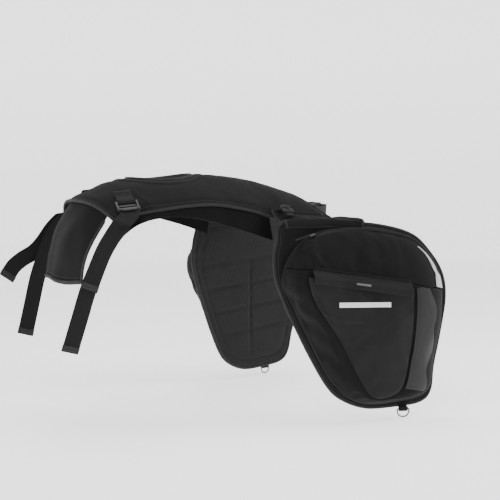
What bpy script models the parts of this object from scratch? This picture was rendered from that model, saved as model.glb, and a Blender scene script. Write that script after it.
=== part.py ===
"""Saddle tank bag for a touring motorcycle, draped as it is worn.

A padded saddle lies over the fuel tank and carries a teardrop bag on each side. Each bag has a zipped
lid, a front pocket under a rain flap, and a stiffened back panel. Two webbing straps hold the saddle's
rear corners and a belt with a side-release clip goes round the steering head.

Metres. +X is forward, +Y is the rider's left and +Z is up. The origin is on the centre plane, under the
saddle's crown, where it rests on the tank. A bag is modelled in its own frame, with u along the bag
towards the front, v outward from the tank and w up, which are local +X, -Y and +Z.
"""

import math

import bmesh
import bpy
from mathutils import Matrix, Vector
from mathutils.bvhtree import BVHTree

# ---- Saddle -------------------------------------------------------------------------------------
HALF_WIDTH = 0.150
PANEL_THICKNESS = 0.005
CROWN_PROFILE = ((-0.34, -0.041), (-0.30, -0.022), (-0.25, -0.002), (-0.16, 0.010),
                 (-0.07, 0.0125), (0.03, 0.007), (0.12, -0.011), (0.23, -0.044))
HEM_PROFILE = ((-0.31, -0.075), (-0.25, -0.064), (-0.145, -0.050), (-0.075, -0.047),
               (0.01, -0.060), (0.07, -0.0765), (0.23, -0.084))
SECTION_POWER = 2.2
REAR_EDGE_X = -0.333
REAR_EDGE_SWEEP = 0.030
FRONT_EDGE_X = 0.170
FRONT_EDGE_SWEEP = 0.048
CAP_CENTRE_X = -0.138
CAP_RADII = (0.076, 0.066)
CAP_RING_RADIUS = 0.0032

# ---- Anti-slip liner and rear flap --------------------------------------------------------------
LINER_GAP = 0.0012
LINER_THICKNESS = 0.0025
LINER_X = (-0.294, 0.058)
LINER_EDGE_PROFILE = ((-0.30, -0.118), (-0.25, -0.084), (-0.18, -0.0715), (-0.12, -0.076),
                      (-0.04, -0.0955), (0.06, -0.127))
LINER_EDGE_Y = 0.161
FLAP_TOP_X = -0.325
FLAP_BOTTOM = Vector((-0.378, 0.112, -0.205))
FLAP_TOP_HALF = 0.128
FLAP_THICKNESS = 0.003

# ---- Side bags ----------------------------------------------------------------------------------
BAG_ORIGIN = Vector((0.2132, -0.250, -0.2554))
BAG_YAW = math.radians(14)
BAG_TILT = math.radians(6)
# Back panel edge, (u, w), clockwise from the top rear corner as seen from outside.
PANEL_OUTLINE = ((-0.160, 0.170), (-0.060, 0.170), (0.050, 0.163), (0.130, 0.142), (0.172, 0.104),
                 (0.201, 0.055), (0.2065, 0.000), (0.191, -0.078), (0.174, -0.146), (0.165, -0.200),
                 (0.140, -0.224), (0.080, -0.2315), (0.015, -0.232), (-0.037, -0.213),
                 (-0.070, -0.183), (-0.106, -0.120), (-0.133, -0.064), (-0.158, -0.009),
                 (-0.178, 0.048), (-0.181, 0.090), (-0.175, 0.130))
BACK_THICKNESS = 0.008
# Bag body, (u, w) where it meets the back panel and (u, w) of the matching point on the front edge.
BODY_OUTLINE = ((-0.164, 0.044, -0.127, 0.040), (-0.145, 0.096, -0.119, 0.062),
                (-0.100, 0.139, -0.080, 0.066), (-0.020, 0.157, -0.020, 0.062),
                (0.070, 0.150, 0.055, 0.056), (0.145, 0.122, 0.099, 0.046),
                (0.192, 0.045, 0.1065, 0.020), (0.192, -0.045, 0.105, -0.040),
                (0.172, -0.130, 0.098, -0.120), (0.155, -0.200, 0.083, -0.190),
                (0.080, -0.220, 0.045, -0.211), (0.000, -0.219, 0.013, -0.205),
                (-0.060, -0.172, -0.016, -0.162), (-0.110, -0.078, -0.062, -0.080),
                (-0.145, -0.002, -0.112, -0.008))
POINTS_PER_SPAN = 2
BODY_BASE_V = BACK_THICKNESS + 0.0006
FRONT_V_TOP = 0.074
FRONT_V_BOTTOM = 0.047
FRONT_CROWN = 0.006
WALL = 0.0025
BULGE_POWER = 1.6
WALL_RINGS = (0.0, 0.09, 0.185, 0.36, 0.56, 0.78, 1.0)
FRONT_RINGS = (1.0, 0.80, 0.58, 0.34)
FRONT_CENTRE = (0.015, -0.050)
SEAM = 0.187
SEAM_GAP = 0.002
CHAIN_SPAN = 0.030
CHAIN_LIFT = 0.0005
CHAIN_THICKNESS = 0.0013
SPLIT_W = 0.047
SPLIT_SLOPE = math.radians(8.6)
SPLIT_GAP = 0.0005
LID_HINGE_V = 0.0825
SWING_HINGE_V = BACK_THICKNESS + 0.001
SWING_HINGE_W = 0.1735

POCKET_DROP = 0.017
POCKET_LIFT = 0.001
POCKET_THICKNESS = 0.008
FLAP_DROP = 0.004
RAIN_FLAP_HEIGHT = 0.024
RAIN_FLAP_U = (-0.116, 0.098)
RAIN_FLAP_THICKNESS = 0.0015
GLOSS_RINGS = (0.10, 0.30, 0.50, 0.72, 0.94)
REFLECTOR_RINGS = (0.24, 0.36, 0.50)
BOARD_SCALE = 0.91
BOARD_THICKNESS = 0.002

# ---- Webbing and plastic ------------------------------------------------------------------------
WIDE_WEBBING = 0.038
NARROW_WEBBING = 0.025
WEBBING_THICKNESS = 0.0016
LOCK_LENGTH = 0.030
LOCK_RAIL = 0.004
LOCK_THICKNESS = 0.004
CLIP_LENGTH = 0.040
CLIP_THICKNESS = 0.011


# ---- Scene helpers ------------------------------------------------------------------------------
def clear_scene():
    for obj in list(bpy.data.objects):
        bpy.data.objects.remove(obj)


def make_material(name, colour, roughness, metallic=0.0):
    material = bpy.data.materials.new(name)
    material.use_nodes = True
    shader = material.node_tree.nodes["Principled BSDF"]
    shader.inputs["Base Color"].default_value = (*colour, 1)
    shader.inputs["Roughness"].default_value = roughness
    shader.inputs["Metallic"].default_value = metallic
    return material


def link(obj, material=None, parent=None, collection=None):
    (collection or PARTS).objects.link(obj)
    if material:
        obj.data.materials.append(material)
    obj.parent = parent
    return obj


def make_empty(name, location=(0, 0, 0), rotation=None, parent=None):
    empty = link(bpy.data.objects.new(name, None), parent=parent)
    empty.location = location
    if rotation:
        empty.rotation_euler = rotation
    empty.empty_display_size = 0.02
    return empty


def from_bmesh(name, bm, material, parent=None, pivot=None, smooth=True):
    """An object from bm, whose points are in the parent's frame. Its origin goes to pivot."""
    mesh = bpy.data.meshes.new(name)
    bm.to_mesh(mesh)
    bm.free()
    obj = link(bpy.data.objects.new(name, mesh), material, parent)
    if pivot is not None:
        mesh.transform(Matrix.Translation(-Vector(pivot)))
        obj.location = pivot
    if smooth:
        mesh.shade_smooth()
        mesh.set_sharp_from_angle(angle=math.radians(35))
    return obj


def solidify(obj, thickness, offset=-1.0):
    """Thickens an open surface, inwards for offset -1 and outwards for +1."""
    modifier = obj.modifiers.new("Thickness", "SOLIDIFY")
    modifier.thickness = thickness
    modifier.offset = offset
    modifier.use_even_offset = True
    modifier.thickness_clamp = 1.0
    return obj


def bevel(obj, width, segments=1):
    modifier = obj.modifiers.new("Edges", "BEVEL")
    modifier.width = width
    modifier.segments = segments
    modifier.limit_method = "ANGLE"
    modifier.angle_limit = math.radians(40)
    return obj


def cut(obj, cutter):
    """Subtracts cutter from obj with a Boolean and puts the cutter away."""
    modifier = obj.modifiers.new("Cut " + cutter.name, "BOOLEAN")
    modifier.operation = "DIFFERENCE"
    modifier.object = cutter
    cutter.hide_render = True
    cutter.display_type = "WIRE"


def box_mesh(size, centre=(0, 0, 0)):
    bm = bmesh.new()
    bmesh.ops.create_cube(bm, size=1.0)
    bmesh.ops.scale(bm, vec=size, verts=bm.verts)
    bmesh.ops.translate(bm, vec=centre, verts=bm.verts)
    return bm


def make_box(name, size, centre, material, parent=None, pivot=None):
    return from_bmesh(name, box_mesh(size, centre), material, parent, pivot, smooth=False)


def box_cutter(name, size, centre, parent):
    mesh = bpy.data.meshes.new(name)
    bm = box_mesh(size, centre)
    bm.to_mesh(mesh)
    bm.free()
    return link(bpy.data.objects.new(name, mesh), parent=parent, collection=CUTTERS)


# ---- Curve and surface helpers ------------------------------------------------------------------
def profile_at(points, x):
    """Height at x of a smooth curve through (x, z) points."""
    x = min(max(x, points[0][0]), points[-1][0])
    last = len(points) - 1

    def slope(k):
        (xa, za), (xb, zb) = points[max(k - 1, 0)], points[min(k + 1, last)]
        return (zb - za) / (xb - xa)

    k = max(i for i in range(last) if points[i][0] <= x)
    (x0, z0), (x1, z1) = points[k], points[k + 1]
    span = x1 - x0
    t = (x - x0) / span
    return ((2 * t**3 - 3 * t**2 + 1) * z0 + (t**3 - 2 * t**2 + t) * span * slope(k)
            + (-2 * t**3 + 3 * t**2) * z1 + (t**3 - t**2) * span * slope(k + 1))


def catmull(p0, p1, p2, p3, t):
    return 0.5 * (2 * p1 + (p2 - p0) * t + (2 * p0 - 5 * p1 + 4 * p2 - p3) * t**2
                  + (3 * p1 - p0 - 3 * p2 + p3) * t**3)


def closed_curve(points, per_span):
    """A smooth closed curve through the points, each a tuple of any length."""
    rows = [Vector(p) for p in points]
    n = len(rows)
    return [catmull(rows[i - 1], rows[i], rows[(i + 1) % n], rows[(i + 2) % n], k / per_span)
            for i in range(n) for k in range(per_span)]


def open_curve(points, per_span):
    """A smooth open curve through the points, ends included."""
    rows = [Vector(p) for p in points]
    rows = [2 * rows[0] - rows[1], *rows, 2 * rows[-1] - rows[-2]]
    made = [catmull(*rows[i:i + 4], k / per_span) for i in range(len(rows) - 3) for k in range(per_span)]
    return [*made, rows[-2]]


def surface_bmesh(rows, closed=False):
    """A quad surface through rows of points. closed joins each row's end to its start."""
    bm = bmesh.new()
    grid = [[bm.verts.new(p) for p in row] for row in rows]
    columns = len(rows[0])
    for low, high in zip(grid, grid[1:]):
        for i in range(columns if closed else columns - 1):
            j = (i + 1) % columns
            bm.faces.new((low[i], low[j], high[j], high[i]))
    bm.normal_update()
    return bm


def face_away(bm, centre):
    """Turns the surface so that its faces point away from centre."""
    bm.normal_update()
    if sum((f.calc_center_median() - Vector(centre)).dot(f.normal) for f in bm.faces) < 0:
        bmesh.ops.reverse_faces(bm, faces=bm.faces)
    bm.normal_update()


def lift_surface(bm, distance):
    bm.normal_update()
    moves = [(v, v.normal * distance) for v in bm.verts]
    for vert, move in moves:
        vert.co += move


def ribbon(name, centre, across, width, thickness, material, parent=None, pivot=None, closed=False):
    """Flat webbing along the centre points, with its width along the across directions."""
    rows = [[c - a.normalized() * width / 2, c + a.normalized() * width / 2]
            for c, a in zip(centre, across)]
    if closed:
        rows.append(rows[0])
    obj = from_bmesh(name, surface_bmesh(rows), material, parent, pivot)
    return solidify(obj, thickness, 0.0)


# ---- Saddle -------------------------------------------------------------------------------------
def saddle_height(x, y):
    crown = profile_at(CROWN_PROFILE, x)
    drop = crown - profile_at(HEM_PROFILE, x)
    return crown - drop * (abs(y) / HALF_WIDTH) ** SECTION_POWER


def saddle_point(x, y, below=0.0):
    """A point on the saddle's upper surface, or that far below it along the surface's normal."""
    step = 0.002
    slope_x = (saddle_height(x + step, y) - saddle_height(x - step, y)) / (2 * step)
    slope_y = (saddle_height(x, y + step) - saddle_height(x, y - step)) / (2 * step)
    normal = Vector((-slope_x, -slope_y, 1)).normalized()
    return Vector((x, y, saddle_height(x, y))) - normal * below


def saddle_normal(x, y):
    return (saddle_point(x, y) - saddle_point(x, y, 1.0)).normalized()


def rear_edge(y):
    return REAR_EDGE_X + REAR_EDGE_SWEEP * (y / HALF_WIDTH) ** 2


def front_edge(y):
    return FRONT_EDGE_X + FRONT_EDGE_SWEEP * (y / HALF_WIDTH) ** 2


def cap_cutter(name, margin):
    """An upright oval cylinder over the filler cap."""
    bm = bmesh.new()
    bmesh.ops.create_cone(bm, cap_ends=True, segments=32, radius1=1, radius2=1, depth=0.12)
    bmesh.ops.scale(bm, vec=(CAP_RADII[0] + margin, CAP_RADII[1] + margin, 1), verts=bm.verts)
    bmesh.ops.translate(bm, vec=(CAP_CENTRE_X, 0, 0), verts=bm.verts)
    mesh = bpy.data.meshes.new(name)
    bm.to_mesh(mesh)
    bm.free()
    return link(bpy.data.objects.new(name, mesh), collection=CUTTERS)


def build_saddle_panel():
    columns = 20
    across = 16
    rows = []
    for i in range(columns + 1):
        s = i / columns
        row = []
        for j in range(across + 1):
            y = HALF_WIDTH * (2 * j / across - 1)
            row.append(saddle_point(rear_edge(y) * (1 - s) + front_edge(y) * s, y))
        rows.append(row)
    bm = surface_bmesh(rows)
    face_away(bm, (0, 0, -1))
    panel = solidify(from_bmesh("saddle_panel", bm, FABRIC), PANEL_THICKNESS)
    cut(panel, cap_cutter("cap_hole", 0))


def build_liner():
    """The rubberised underlay. It follows the saddle and hangs below its hem as a skirt."""
    depth = PANEL_THICKNESS + LINER_GAP
    lengthwise = 12
    stations = [-0.144 + 0.288 * j / 12 for j in range(13)]
    rows = []
    for i in range(lengthwise + 1):
        x = LINER_X[0] + (LINER_X[1] - LINER_X[0]) * i / lengthwise
        edge = profile_at(LINER_EDGE_PROFILE, x)
        skirt = []
        for side in (-1, 1):
            inner = saddle_point(x, side * stations[-1], depth)
            middle = inner.lerp(Vector((x, side * 0.158, edge)), 0.5)
            skirt.append([Vector((x, side * LINER_EDGE_Y, edge)), middle])
        rows.append([*skirt[0], *[saddle_point(x, y, depth) for y in stations], *reversed(skirt[1])])
    bm = surface_bmesh(rows)
    face_away(bm, (0, 0, -1))
    liner = solidify(from_bmesh("antislip_liner", bm, RUBBERISED), LINER_THICKNESS)
    cut(liner, cap_cutter("liner_cap_hole", 0.004))


def build_cap_ring():
    """The rolled edge of the filler opening, a closed tube that follows the saddle."""
    points = []
    steps = 40
    for k in range(steps):
        a = 2 * math.pi * k / steps
        x = CAP_CENTRE_X + (CAP_RADII[0] - CAP_RING_RADIUS - 0.0012) * math.cos(a)
        y = (CAP_RADII[1] - CAP_RING_RADIUS - 0.0012) * math.sin(a)
        points.append(saddle_point(x, y, PANEL_THICKNESS * 0.3))
    data = bpy.data.curves.new("filler_opening_ring", "CURVE")
    data.dimensions = "3D"
    data.bevel_depth = CAP_RING_RADIUS
    data.bevel_resolution = 1
    spline = data.splines.new("POLY")
    spline.points.add(len(points) - 1)
    for target, point in zip(spline.points, points):
        target.co = (*point, 1)
    spline.use_cyclic_u = True
    link(bpy.data.objects.new("filler_opening_ring", data), TRIM)


def build_rear_flap():
    rows = []
    for i in range(7):
        s = i / 6
        row = []
        for j in range(9):
            t = j / 4 - 1
            top = saddle_point(FLAP_TOP_X, t * FLAP_TOP_HALF, PANEL_THICKNESS + 0.002)
            bottom = Vector((FLAP_BOTTOM.x + 0.020 * t * t, t * FLAP_BOTTOM.y, FLAP_BOTTOM.z))
            point = top.lerp(bottom, s)
            point.x -= 0.012 * math.sin(math.pi * s)
            row.append(point)
        rows.append(row)
    bm = surface_bmesh(rows)
    face_away(bm, (0, 0, -0.1))
    solidify(from_bmesh("rear_flap", bm, RUBBERISED), FLAP_THICKNESS)


# ---- Ladder locks and straps --------------------------------------------------------------------
def make_ladder_lock(name, width, parent):
    """A two-slot ladder lock in its own frame: X across the webbing, +Y towards the fixed end, Z out."""
    outer = width + 2 * LOCK_RAIL
    lock = make_box(name, (outer, LOCK_LENGTH, LOCK_THICKNESS), (0, 0, 0), PLASTIC, parent)
    slot = (LOCK_LENGTH - 3 * LOCK_RAIL) / 2
    for label, y in (("upper", LOCK_RAIL / 2 + slot / 2), ("lower", -LOCK_RAIL / 2 - slot / 2)):
        cut(lock, box_cutter(name + "_slot_" + label, (width + 0.001, slot, 0.02), (0, y, 0), parent))
    return bevel(lock, 0.0008)


def lock_frame(name, centre, across, normal, parent=None):
    """An empty whose X is across the webbing and whose Z is the normal."""
    z = normal.normalized()
    x = (across - z * across.dot(z)).normalized()
    matrix = Matrix((x, z.cross(x), z)).transposed().to_4x4()
    matrix.translation = centre
    empty = make_empty(name, parent=parent)
    empty.matrix_local = matrix
    return empty, matrix


def sewn_loop(name, width, length, material, parent):
    """Webbing folded round the lock's upper rail, both ends sewn down on the saddle at +Y."""
    rail = LOCK_LENGTH / 2 - LOCK_RAIL
    gap = LOCK_THICKNESS / 2 + WEBBING_THICKNESS / 2 + 0.0006
    path = ((length, -gap), (rail + LOCK_RAIL, -gap), (rail - 0.0010, -gap + 0.0002),
            (rail - 0.0026, -gap * 0.4), (rail - 0.0026, gap * 0.4), (rail - 0.0010, gap - 0.0002),
            (rail + LOCK_RAIL, gap), (rail + LOCK_RAIL + 0.008, gap * 0.4), (length * 0.98, -gap + 0.0021))
    centre = [Vector((0, y, z)) for y, z in path]
    across = [Vector((1, 0, 0))] * len(centre)
    return ribbon(name, centre, across, width, WEBBING_THICKNESS, material, parent)


# Down the tank's flank from the lock, (x, |y|, z), and how the webbing's width turns on the way.
STRAP_ROUTE = ((-0.292, 0.170, -0.083), (-0.311, 0.1725, -0.104), (-0.330, 0.171, -0.133),
               (-0.348, 0.167, -0.175), (-0.364, 0.162, -0.217), (-0.380, 0.155, -0.275),
               (-0.398, 0.147, -0.340))
RIGHT_TAIL = ((-0.297, 0.1765, -0.083), (-0.317, 0.179, -0.108), (-0.336, 0.178, -0.139),
              (-0.353, 0.175, -0.180), (-0.366, 0.174, -0.214))
LEFT_TAIL = ((-0.300, 0.178, -0.082), (-0.322, 0.182, -0.108), (-0.345, 0.184, -0.140),
             (-0.366, 0.183, -0.160), (-0.392, 0.180, -0.174), (-0.414, 0.176, -0.190),
             (-0.432, 0.171, -0.215))


def strap_width_direction(points):
    """Across the webbing where it lies flat on the flank: square to its run and to the flank."""
    flank = Vector((0, 1, 0))
    ends = [points[0], *points, points[-1]]
    return [(ends[k + 2] - ends[k]).cross(flank).normalized() for k in range(len(points))]


def build_rear_strap(prefix, side, tail):
    """One rear corner: a loop on the saddle, and the lock and strap that swing from it."""
    x, y = -0.266, 0.134
    centre = saddle_point(x, side * y) + saddle_normal(x, side * y) * 0.0052
    across_lock = Vector((-side * 0.985, 0, side * 0.10))
    frame, matrix = lock_frame(prefix + "_rear_lock_frame", centre, across_lock, saddle_normal(x, side * y))
    sewn_loop(prefix + "_rear_loop", WIDE_WEBBING, 0.042, WEBBING, frame)
    rail = LOCK_LENGTH / 2 - LOCK_RAIL / 2
    pivot = make_empty(prefix + "_rear_strap_pivot", (0, rail, 0), parent=frame)
    lock_parent = make_empty(prefix + "_rear_lock_centre", (0, -rail, 0), parent=pivot)
    make_ladder_lock(prefix + "_rear_ladder_lock", WIDE_WEBBING, lock_parent)

    low = -LOCK_LENGTH / 2
    gap = LOCK_THICKNESS / 2 + WEBBING_THICKNESS / 2 + 0.0006
    wrap = ((low - 0.010, -gap), (low - 0.001, -gap), (low + LOCK_RAIL + 0.0008, -gap + 0.0002),
            (low + LOCK_RAIL + 0.0026, -gap * 0.4), (low + LOCK_RAIL + 0.0026, gap * 0.4),
            (low + LOCK_RAIL + 0.0008, gap - 0.0002), (low - 0.001, gap), (low - 0.010, gap * 0.95))
    turn = [matrix @ Vector((0, a, b)) for a, b in wrap]
    load = open_curve([Vector((p[0], side * p[1], p[2])) for p in STRAP_ROUTE], 2)
    free = open_curve([Vector((p[0], side * p[1], p[2])) for p in tail], 2)
    lock_across = matrix.to_3x3() @ Vector((1, 0, 0))
    points = [*reversed(load), *turn, *free]
    across = []
    for part, steps in ((load, load), (free, free)):
        directions = strap_width_direction(steps)
        signed = [d if d.dot(lock_across) > 0 else -d for d in directions]
        for k in range(len(part)):
            share = min(1.0, (k + 1) / 3)
            signed[k] = lock_across.lerp(signed[k], share)
        across.append(signed)
    widths = [*reversed(across[0]), *[lock_across] * len(turn), *across[1]]
    local = (matrix @ Matrix.Translation((0, rail, 0))).inverted()
    ribbon(prefix + "_rear_strap", [local @ p for p in points], [local.to_3x3() @ a for a in widths],
           WIDE_WEBBING - 0.002, WEBBING_THICKNESS, WEBBING, pivot)


def build_front_belt():
    """The belt round the steering head: webbing each side and a side-release clip in the middle."""
    route = ((0.196, 0.098, -0.066), (0.222, 0.092, -0.0655), (0.243, 0.078, -0.066),
             (0.2545, 0.060, -0.066), (0.256, 0.036, -0.066))
    across = (Vector((0.5, 1.0, 0.45)), Vector((0.35, 0.6, 0.8)), Vector((0.1, 0.2, 1)), Vector((0, 0, 1)),
              Vector((0, 0, 1)))
    socket_end = 0.0215
    for side, prefix in ((-1, "right"), (1, "left")):
        points = [Vector((x, side * y, z)) for x, y, z in route]
        if side > 0:
            points.append(Vector((0.256, socket_end + 0.016, -0.066)))
            points.pop(-2)
        widths = [Vector((a.x, side * a.y, a.z)) for a in across]
        ribbon(f"{prefix}_front_webbing", points, widths, NARROW_WEBBING, WEBBING_THICKNESS, WEBBING)
    centre = Vector((0.256, 0, -0.066))
    height = NARROW_WEBBING + 0.008

    socket = make_box("front_clip_socket", (CLIP_THICKNESS, CLIP_LENGTH, height),
                      centre + Vector((0, -0.0145, 0)), PLASTIC)
    cut(socket, box_cutter("socket_mouth", (0.0062, 0.030, height - 0.006),
                           centre + Vector((0, socket_end - 0.030, 0)), None))
    bevel(socket, 0.0012)
    male = make_empty("front_clip_slide", centre + Vector((0, 0.006, 0)))
    tongue = make_box("front_clip_plug", (0.0054, 0.022, height - 0.0076), (0, -0.004, 0), PLASTIC, male)
    body = box_mesh((0.009, 0.030, height), (0, 0.0152, 0))
    mesh = bpy.data.meshes.new("clip_body")
    body.to_mesh(mesh)
    body.free()
    clip_body = link(bpy.data.objects.new("clip_body", mesh), parent=male, collection=CUTTERS)
    clip_body.hide_render = True
    clip_body.display_type = "WIRE"
    join = tongue.modifiers.new("Body", "BOOLEAN")
    join.operation = "UNION"
    join.object = clip_body
    cut(tongue, box_cutter("plug_channel", (0.0036, 0.030, NARROW_WEBBING + 0.002), (0, 0.0265, 0), male))


# ---- Side bag surfaces --------------------------------------------------------------------------
def local_point(u, v, w):
    return Vector((u, -v, w))


def front_depth(w):
    """How far out the front of the bag is at height w: fuller above, drawn in at the bottom."""
    t = min(max((w + 0.215) / 0.19, 0), 1)
    return FRONT_V_BOTTOM + (FRONT_V_TOP - FRONT_V_BOTTOM) * (3 * t**2 - 2 * t**3)


BODY_CURVE = closed_curve(BODY_OUTLINE, POINTS_PER_SPAN)


def wall_point(row, s):
    """A point on the bag's wall: s runs from 0 on the back panel to 1 on the front edge."""
    base_u, base_w, edge_u, edge_w = row
    inward = s**BULGE_POWER
    outward = math.sin(s * math.pi / 2) ** 0.9
    u = base_u + (edge_u - base_u) * inward
    w = base_w + (edge_w - base_w) * inward
    return local_point(u, BODY_BASE_V + (front_depth(edge_w) - BODY_BASE_V) * outward, w)


def front_point(row, size):
    """A point on the bag's front, on the front edge for size 1 and nearer its centre below 1."""
    u = FRONT_CENTRE[0] + (row[2] - FRONT_CENTRE[0]) * size
    w = FRONT_CENTRE[1] + (row[3] - FRONT_CENTRE[1]) * size
    return local_point(u, front_depth(w) + FRONT_CROWN * (1 - size**2), w)


def clip_at_split(bm, keep_above, shift=0.0):
    """Cuts the surface along the lid's lower edge and keeps one side of it."""
    normal = Vector((math.sin(SPLIT_SLOPE), 0, math.cos(SPLIT_SLOPE)))
    side = 1 if keep_above else -1
    point = Vector((0, 0, SPLIT_W)) + normal * (shift + side * SPLIT_GAP)
    geometry = [*bm.verts, *bm.edges, *bm.faces]
    bmesh.ops.bisect_plane(bm, geom=geometry, dist=1e-6, plane_co=point, plane_no=normal,
                           clear_inner=keep_above, clear_outer=not keep_above)
    bm.normal_update()


def wall_surface(rings, front=False, rows=None):
    """The bag's wall at the given rings, with the front closed if front is true."""
    rows = rows or BODY_CURVE
    closed = len(rows) == len(BODY_CURVE)
    grid = [[wall_point(row, s) for row in rows] for s in rings]
    if front:
        grid += [[front_point(row, size) for row in rows] for size in FRONT_RINGS[1:]]
    bm = surface_bmesh(grid, closed)
    if front:
        close_front(bm, len(rows))
    face_away(bm, local_point(0.01, 0.0, -0.02))
    return bm


def close_front(bm, count):
    """Closes the innermost ring, the last count points, with a fan around the front's centre."""
    bm.verts.ensure_lookup_table()
    ring = bm.verts[-count:]
    u, w = FRONT_CENTRE
    hub = bm.verts.new(local_point(u, front_depth(w) + FRONT_CROWN, w))
    for k in range(count):
        bm.faces.new((ring[k], ring[(k + 1) % count], hub))
    bmesh.ops.recalc_face_normals(bm, faces=bm.faces)


def split_w(u):
    return SPLIT_W - math.tan(SPLIT_SLOPE) * u


def circle_through(p, q, r):
    """Centre and radius of the circle through three (u, w) points."""
    ax, ay, bx, by = q[0] - p[0], q[1] - p[1], r[0] - p[0], r[1] - p[1]
    d = 2 * (ax * by - ay * bx)
    cx = (by * (ax**2 + ay**2) - ay * (bx**2 + by**2)) / d
    cy = (ax * (bx**2 + by**2) - bx * (ax**2 + ay**2)) / d
    return (p[0] + cx, p[1] + cy), math.hypot(cx, cy)


def seam_uw(k):
    """(u, w) of the zip seam at outline point k."""
    point = wall_point(BODY_OUTLINE[k], SEAM)
    return point.x, point.z


def drape(obj, points, lift):
    """Drops (u, w) points onto obj's outer face and lifts them off it."""
    graph = bpy.context.evaluated_depsgraph_get()
    evaluated = obj.evaluated_get(graph)
    tree = BVHTree.FromObject(evaluated, graph)
    made = []
    for u, w in points:
        origin = Vector((u, -0.3, w)) - obj.location
        hit = tree.ray_cast(origin, Vector((0, 1, 0)))[0]
        made.append(hit + obj.location - Vector((0, lift, 0)))
    return made


# ---- Side bag pieces ----------------------------------------------------------------------------
def flat_plate(name, outline, v, thickness, material, parent):
    """A flat piece of that (u, w) outline, from depth v outward."""
    data = bpy.data.curves.new(name, "CURVE")
    data.dimensions = "2D"
    data.fill_mode = "BOTH"
    data.extrude = thickness / 2
    spline = data.splines.new("POLY")
    spline.points.add(len(outline) - 1)
    for target, (u, w) in zip(spline.points, outline):
        target.co = (u, w, 0, 1)
    spline.use_cyclic_u = True
    obj = link(bpy.data.objects.new(name, data), material, parent)
    obj.location = local_point(0, v + thickness / 2, 0)
    obj.rotation_euler = (math.pi / 2, 0, 0)
    return obj


def build_back(frame):
    outline = [(p[0], p[1]) for p in closed_curve([(u, w) for u, w in PANEL_OUTLINE], 2)]
    flat_plate("right_bag_back_panel", outline, 0.0, BACK_THICKNESS, FABRIC, frame)
    board = []
    for row in BODY_CURVE:
        board.append((0.012 + (row[0] - 0.012) * BOARD_SCALE, -0.035 + (row[1] + 0.035) * BOARD_SCALE))
    flat_plate("right_bag_back_board", board, BACK_THICKNESS + 0.0004, BOARD_THICKNESS, BOARD, frame)


def build_shell(frame):
    bm = wall_surface(WALL_RINGS, front=True)
    clip_at_split(bm, keep_above=False)
    solidify(from_bmesh("right_bag_shell", bm, FABRIC, frame), WALL)

    bm = wall_surface([r for r in WALL_RINGS if r < SEAM])
    clip_at_split(bm, keep_above=True)
    solidify(from_bmesh("right_bag_boxing", bm, FABRIC, frame), WALL)

    bm = wall_surface([SEAM - SEAM_GAP - CHAIN_SPAN, SEAM - SEAM_GAP])
    lift_surface(bm, CHAIN_LIFT)
    clip_at_split(bm, keep_above=True, shift=0.002)
    solidify(from_bmesh("right_zip_chain_body_side", bm, ZIP, frame), CHAIN_THICKNESS, 1.0)


def build_lid(frame):
    hinge = local_point(0, LID_HINGE_V, SPLIT_W)
    rings = [SEAM + 3 * SEAM_GAP, *[r for r in WALL_RINGS if r > SEAM + 0.05]]
    bm = wall_surface(rings, front=True)
    clip_at_split(bm, keep_above=True)
    solidify(from_bmesh("right_lid_shell", bm, FABRIC, frame, hinge), WALL)

    bm = wall_surface([SEAM + 3 * SEAM_GAP, SEAM + 3 * SEAM_GAP + CHAIN_SPAN])
    lift_surface(bm, CHAIN_LIFT)
    clip_at_split(bm, keep_above=True, shift=0.002)
    solidify(from_bmesh("right_zip_chain_lid_side", bm, ZIP, frame, hinge), CHAIN_THICKNESS, 1.0)

    # The reflective wedge narrows to a tip towards the top of the front shoulder.
    rows = closed_curve(BODY_OUTLINE, 4)[20:27]
    grid = []
    for share in (0.0, 0.5, 1.0):
        line = []
        for k, row in enumerate(rows):
            spread = 0.15 + 0.85 * k / (len(rows) - 1)
            middle = (REFLECTOR_RINGS[0] + REFLECTOR_RINGS[-1]) / 2
            half = (REFLECTOR_RINGS[-1] - REFLECTOR_RINGS[0]) / 2 * spread
            line.append(wall_point(row, middle - half + 2 * half * share))
        grid.append(line)
    bm = surface_bmesh(grid)
    face_away(bm, local_point(0.01, 0.0, -0.02))
    lift_surface(bm, 0.0012)
    clip_at_split(bm, keep_above=True, shift=0.001)
    solidify(from_bmesh("right_lid_reflector", bm, REFLECTIVE, frame, hinge), 0.0008, 1.0)


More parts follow.
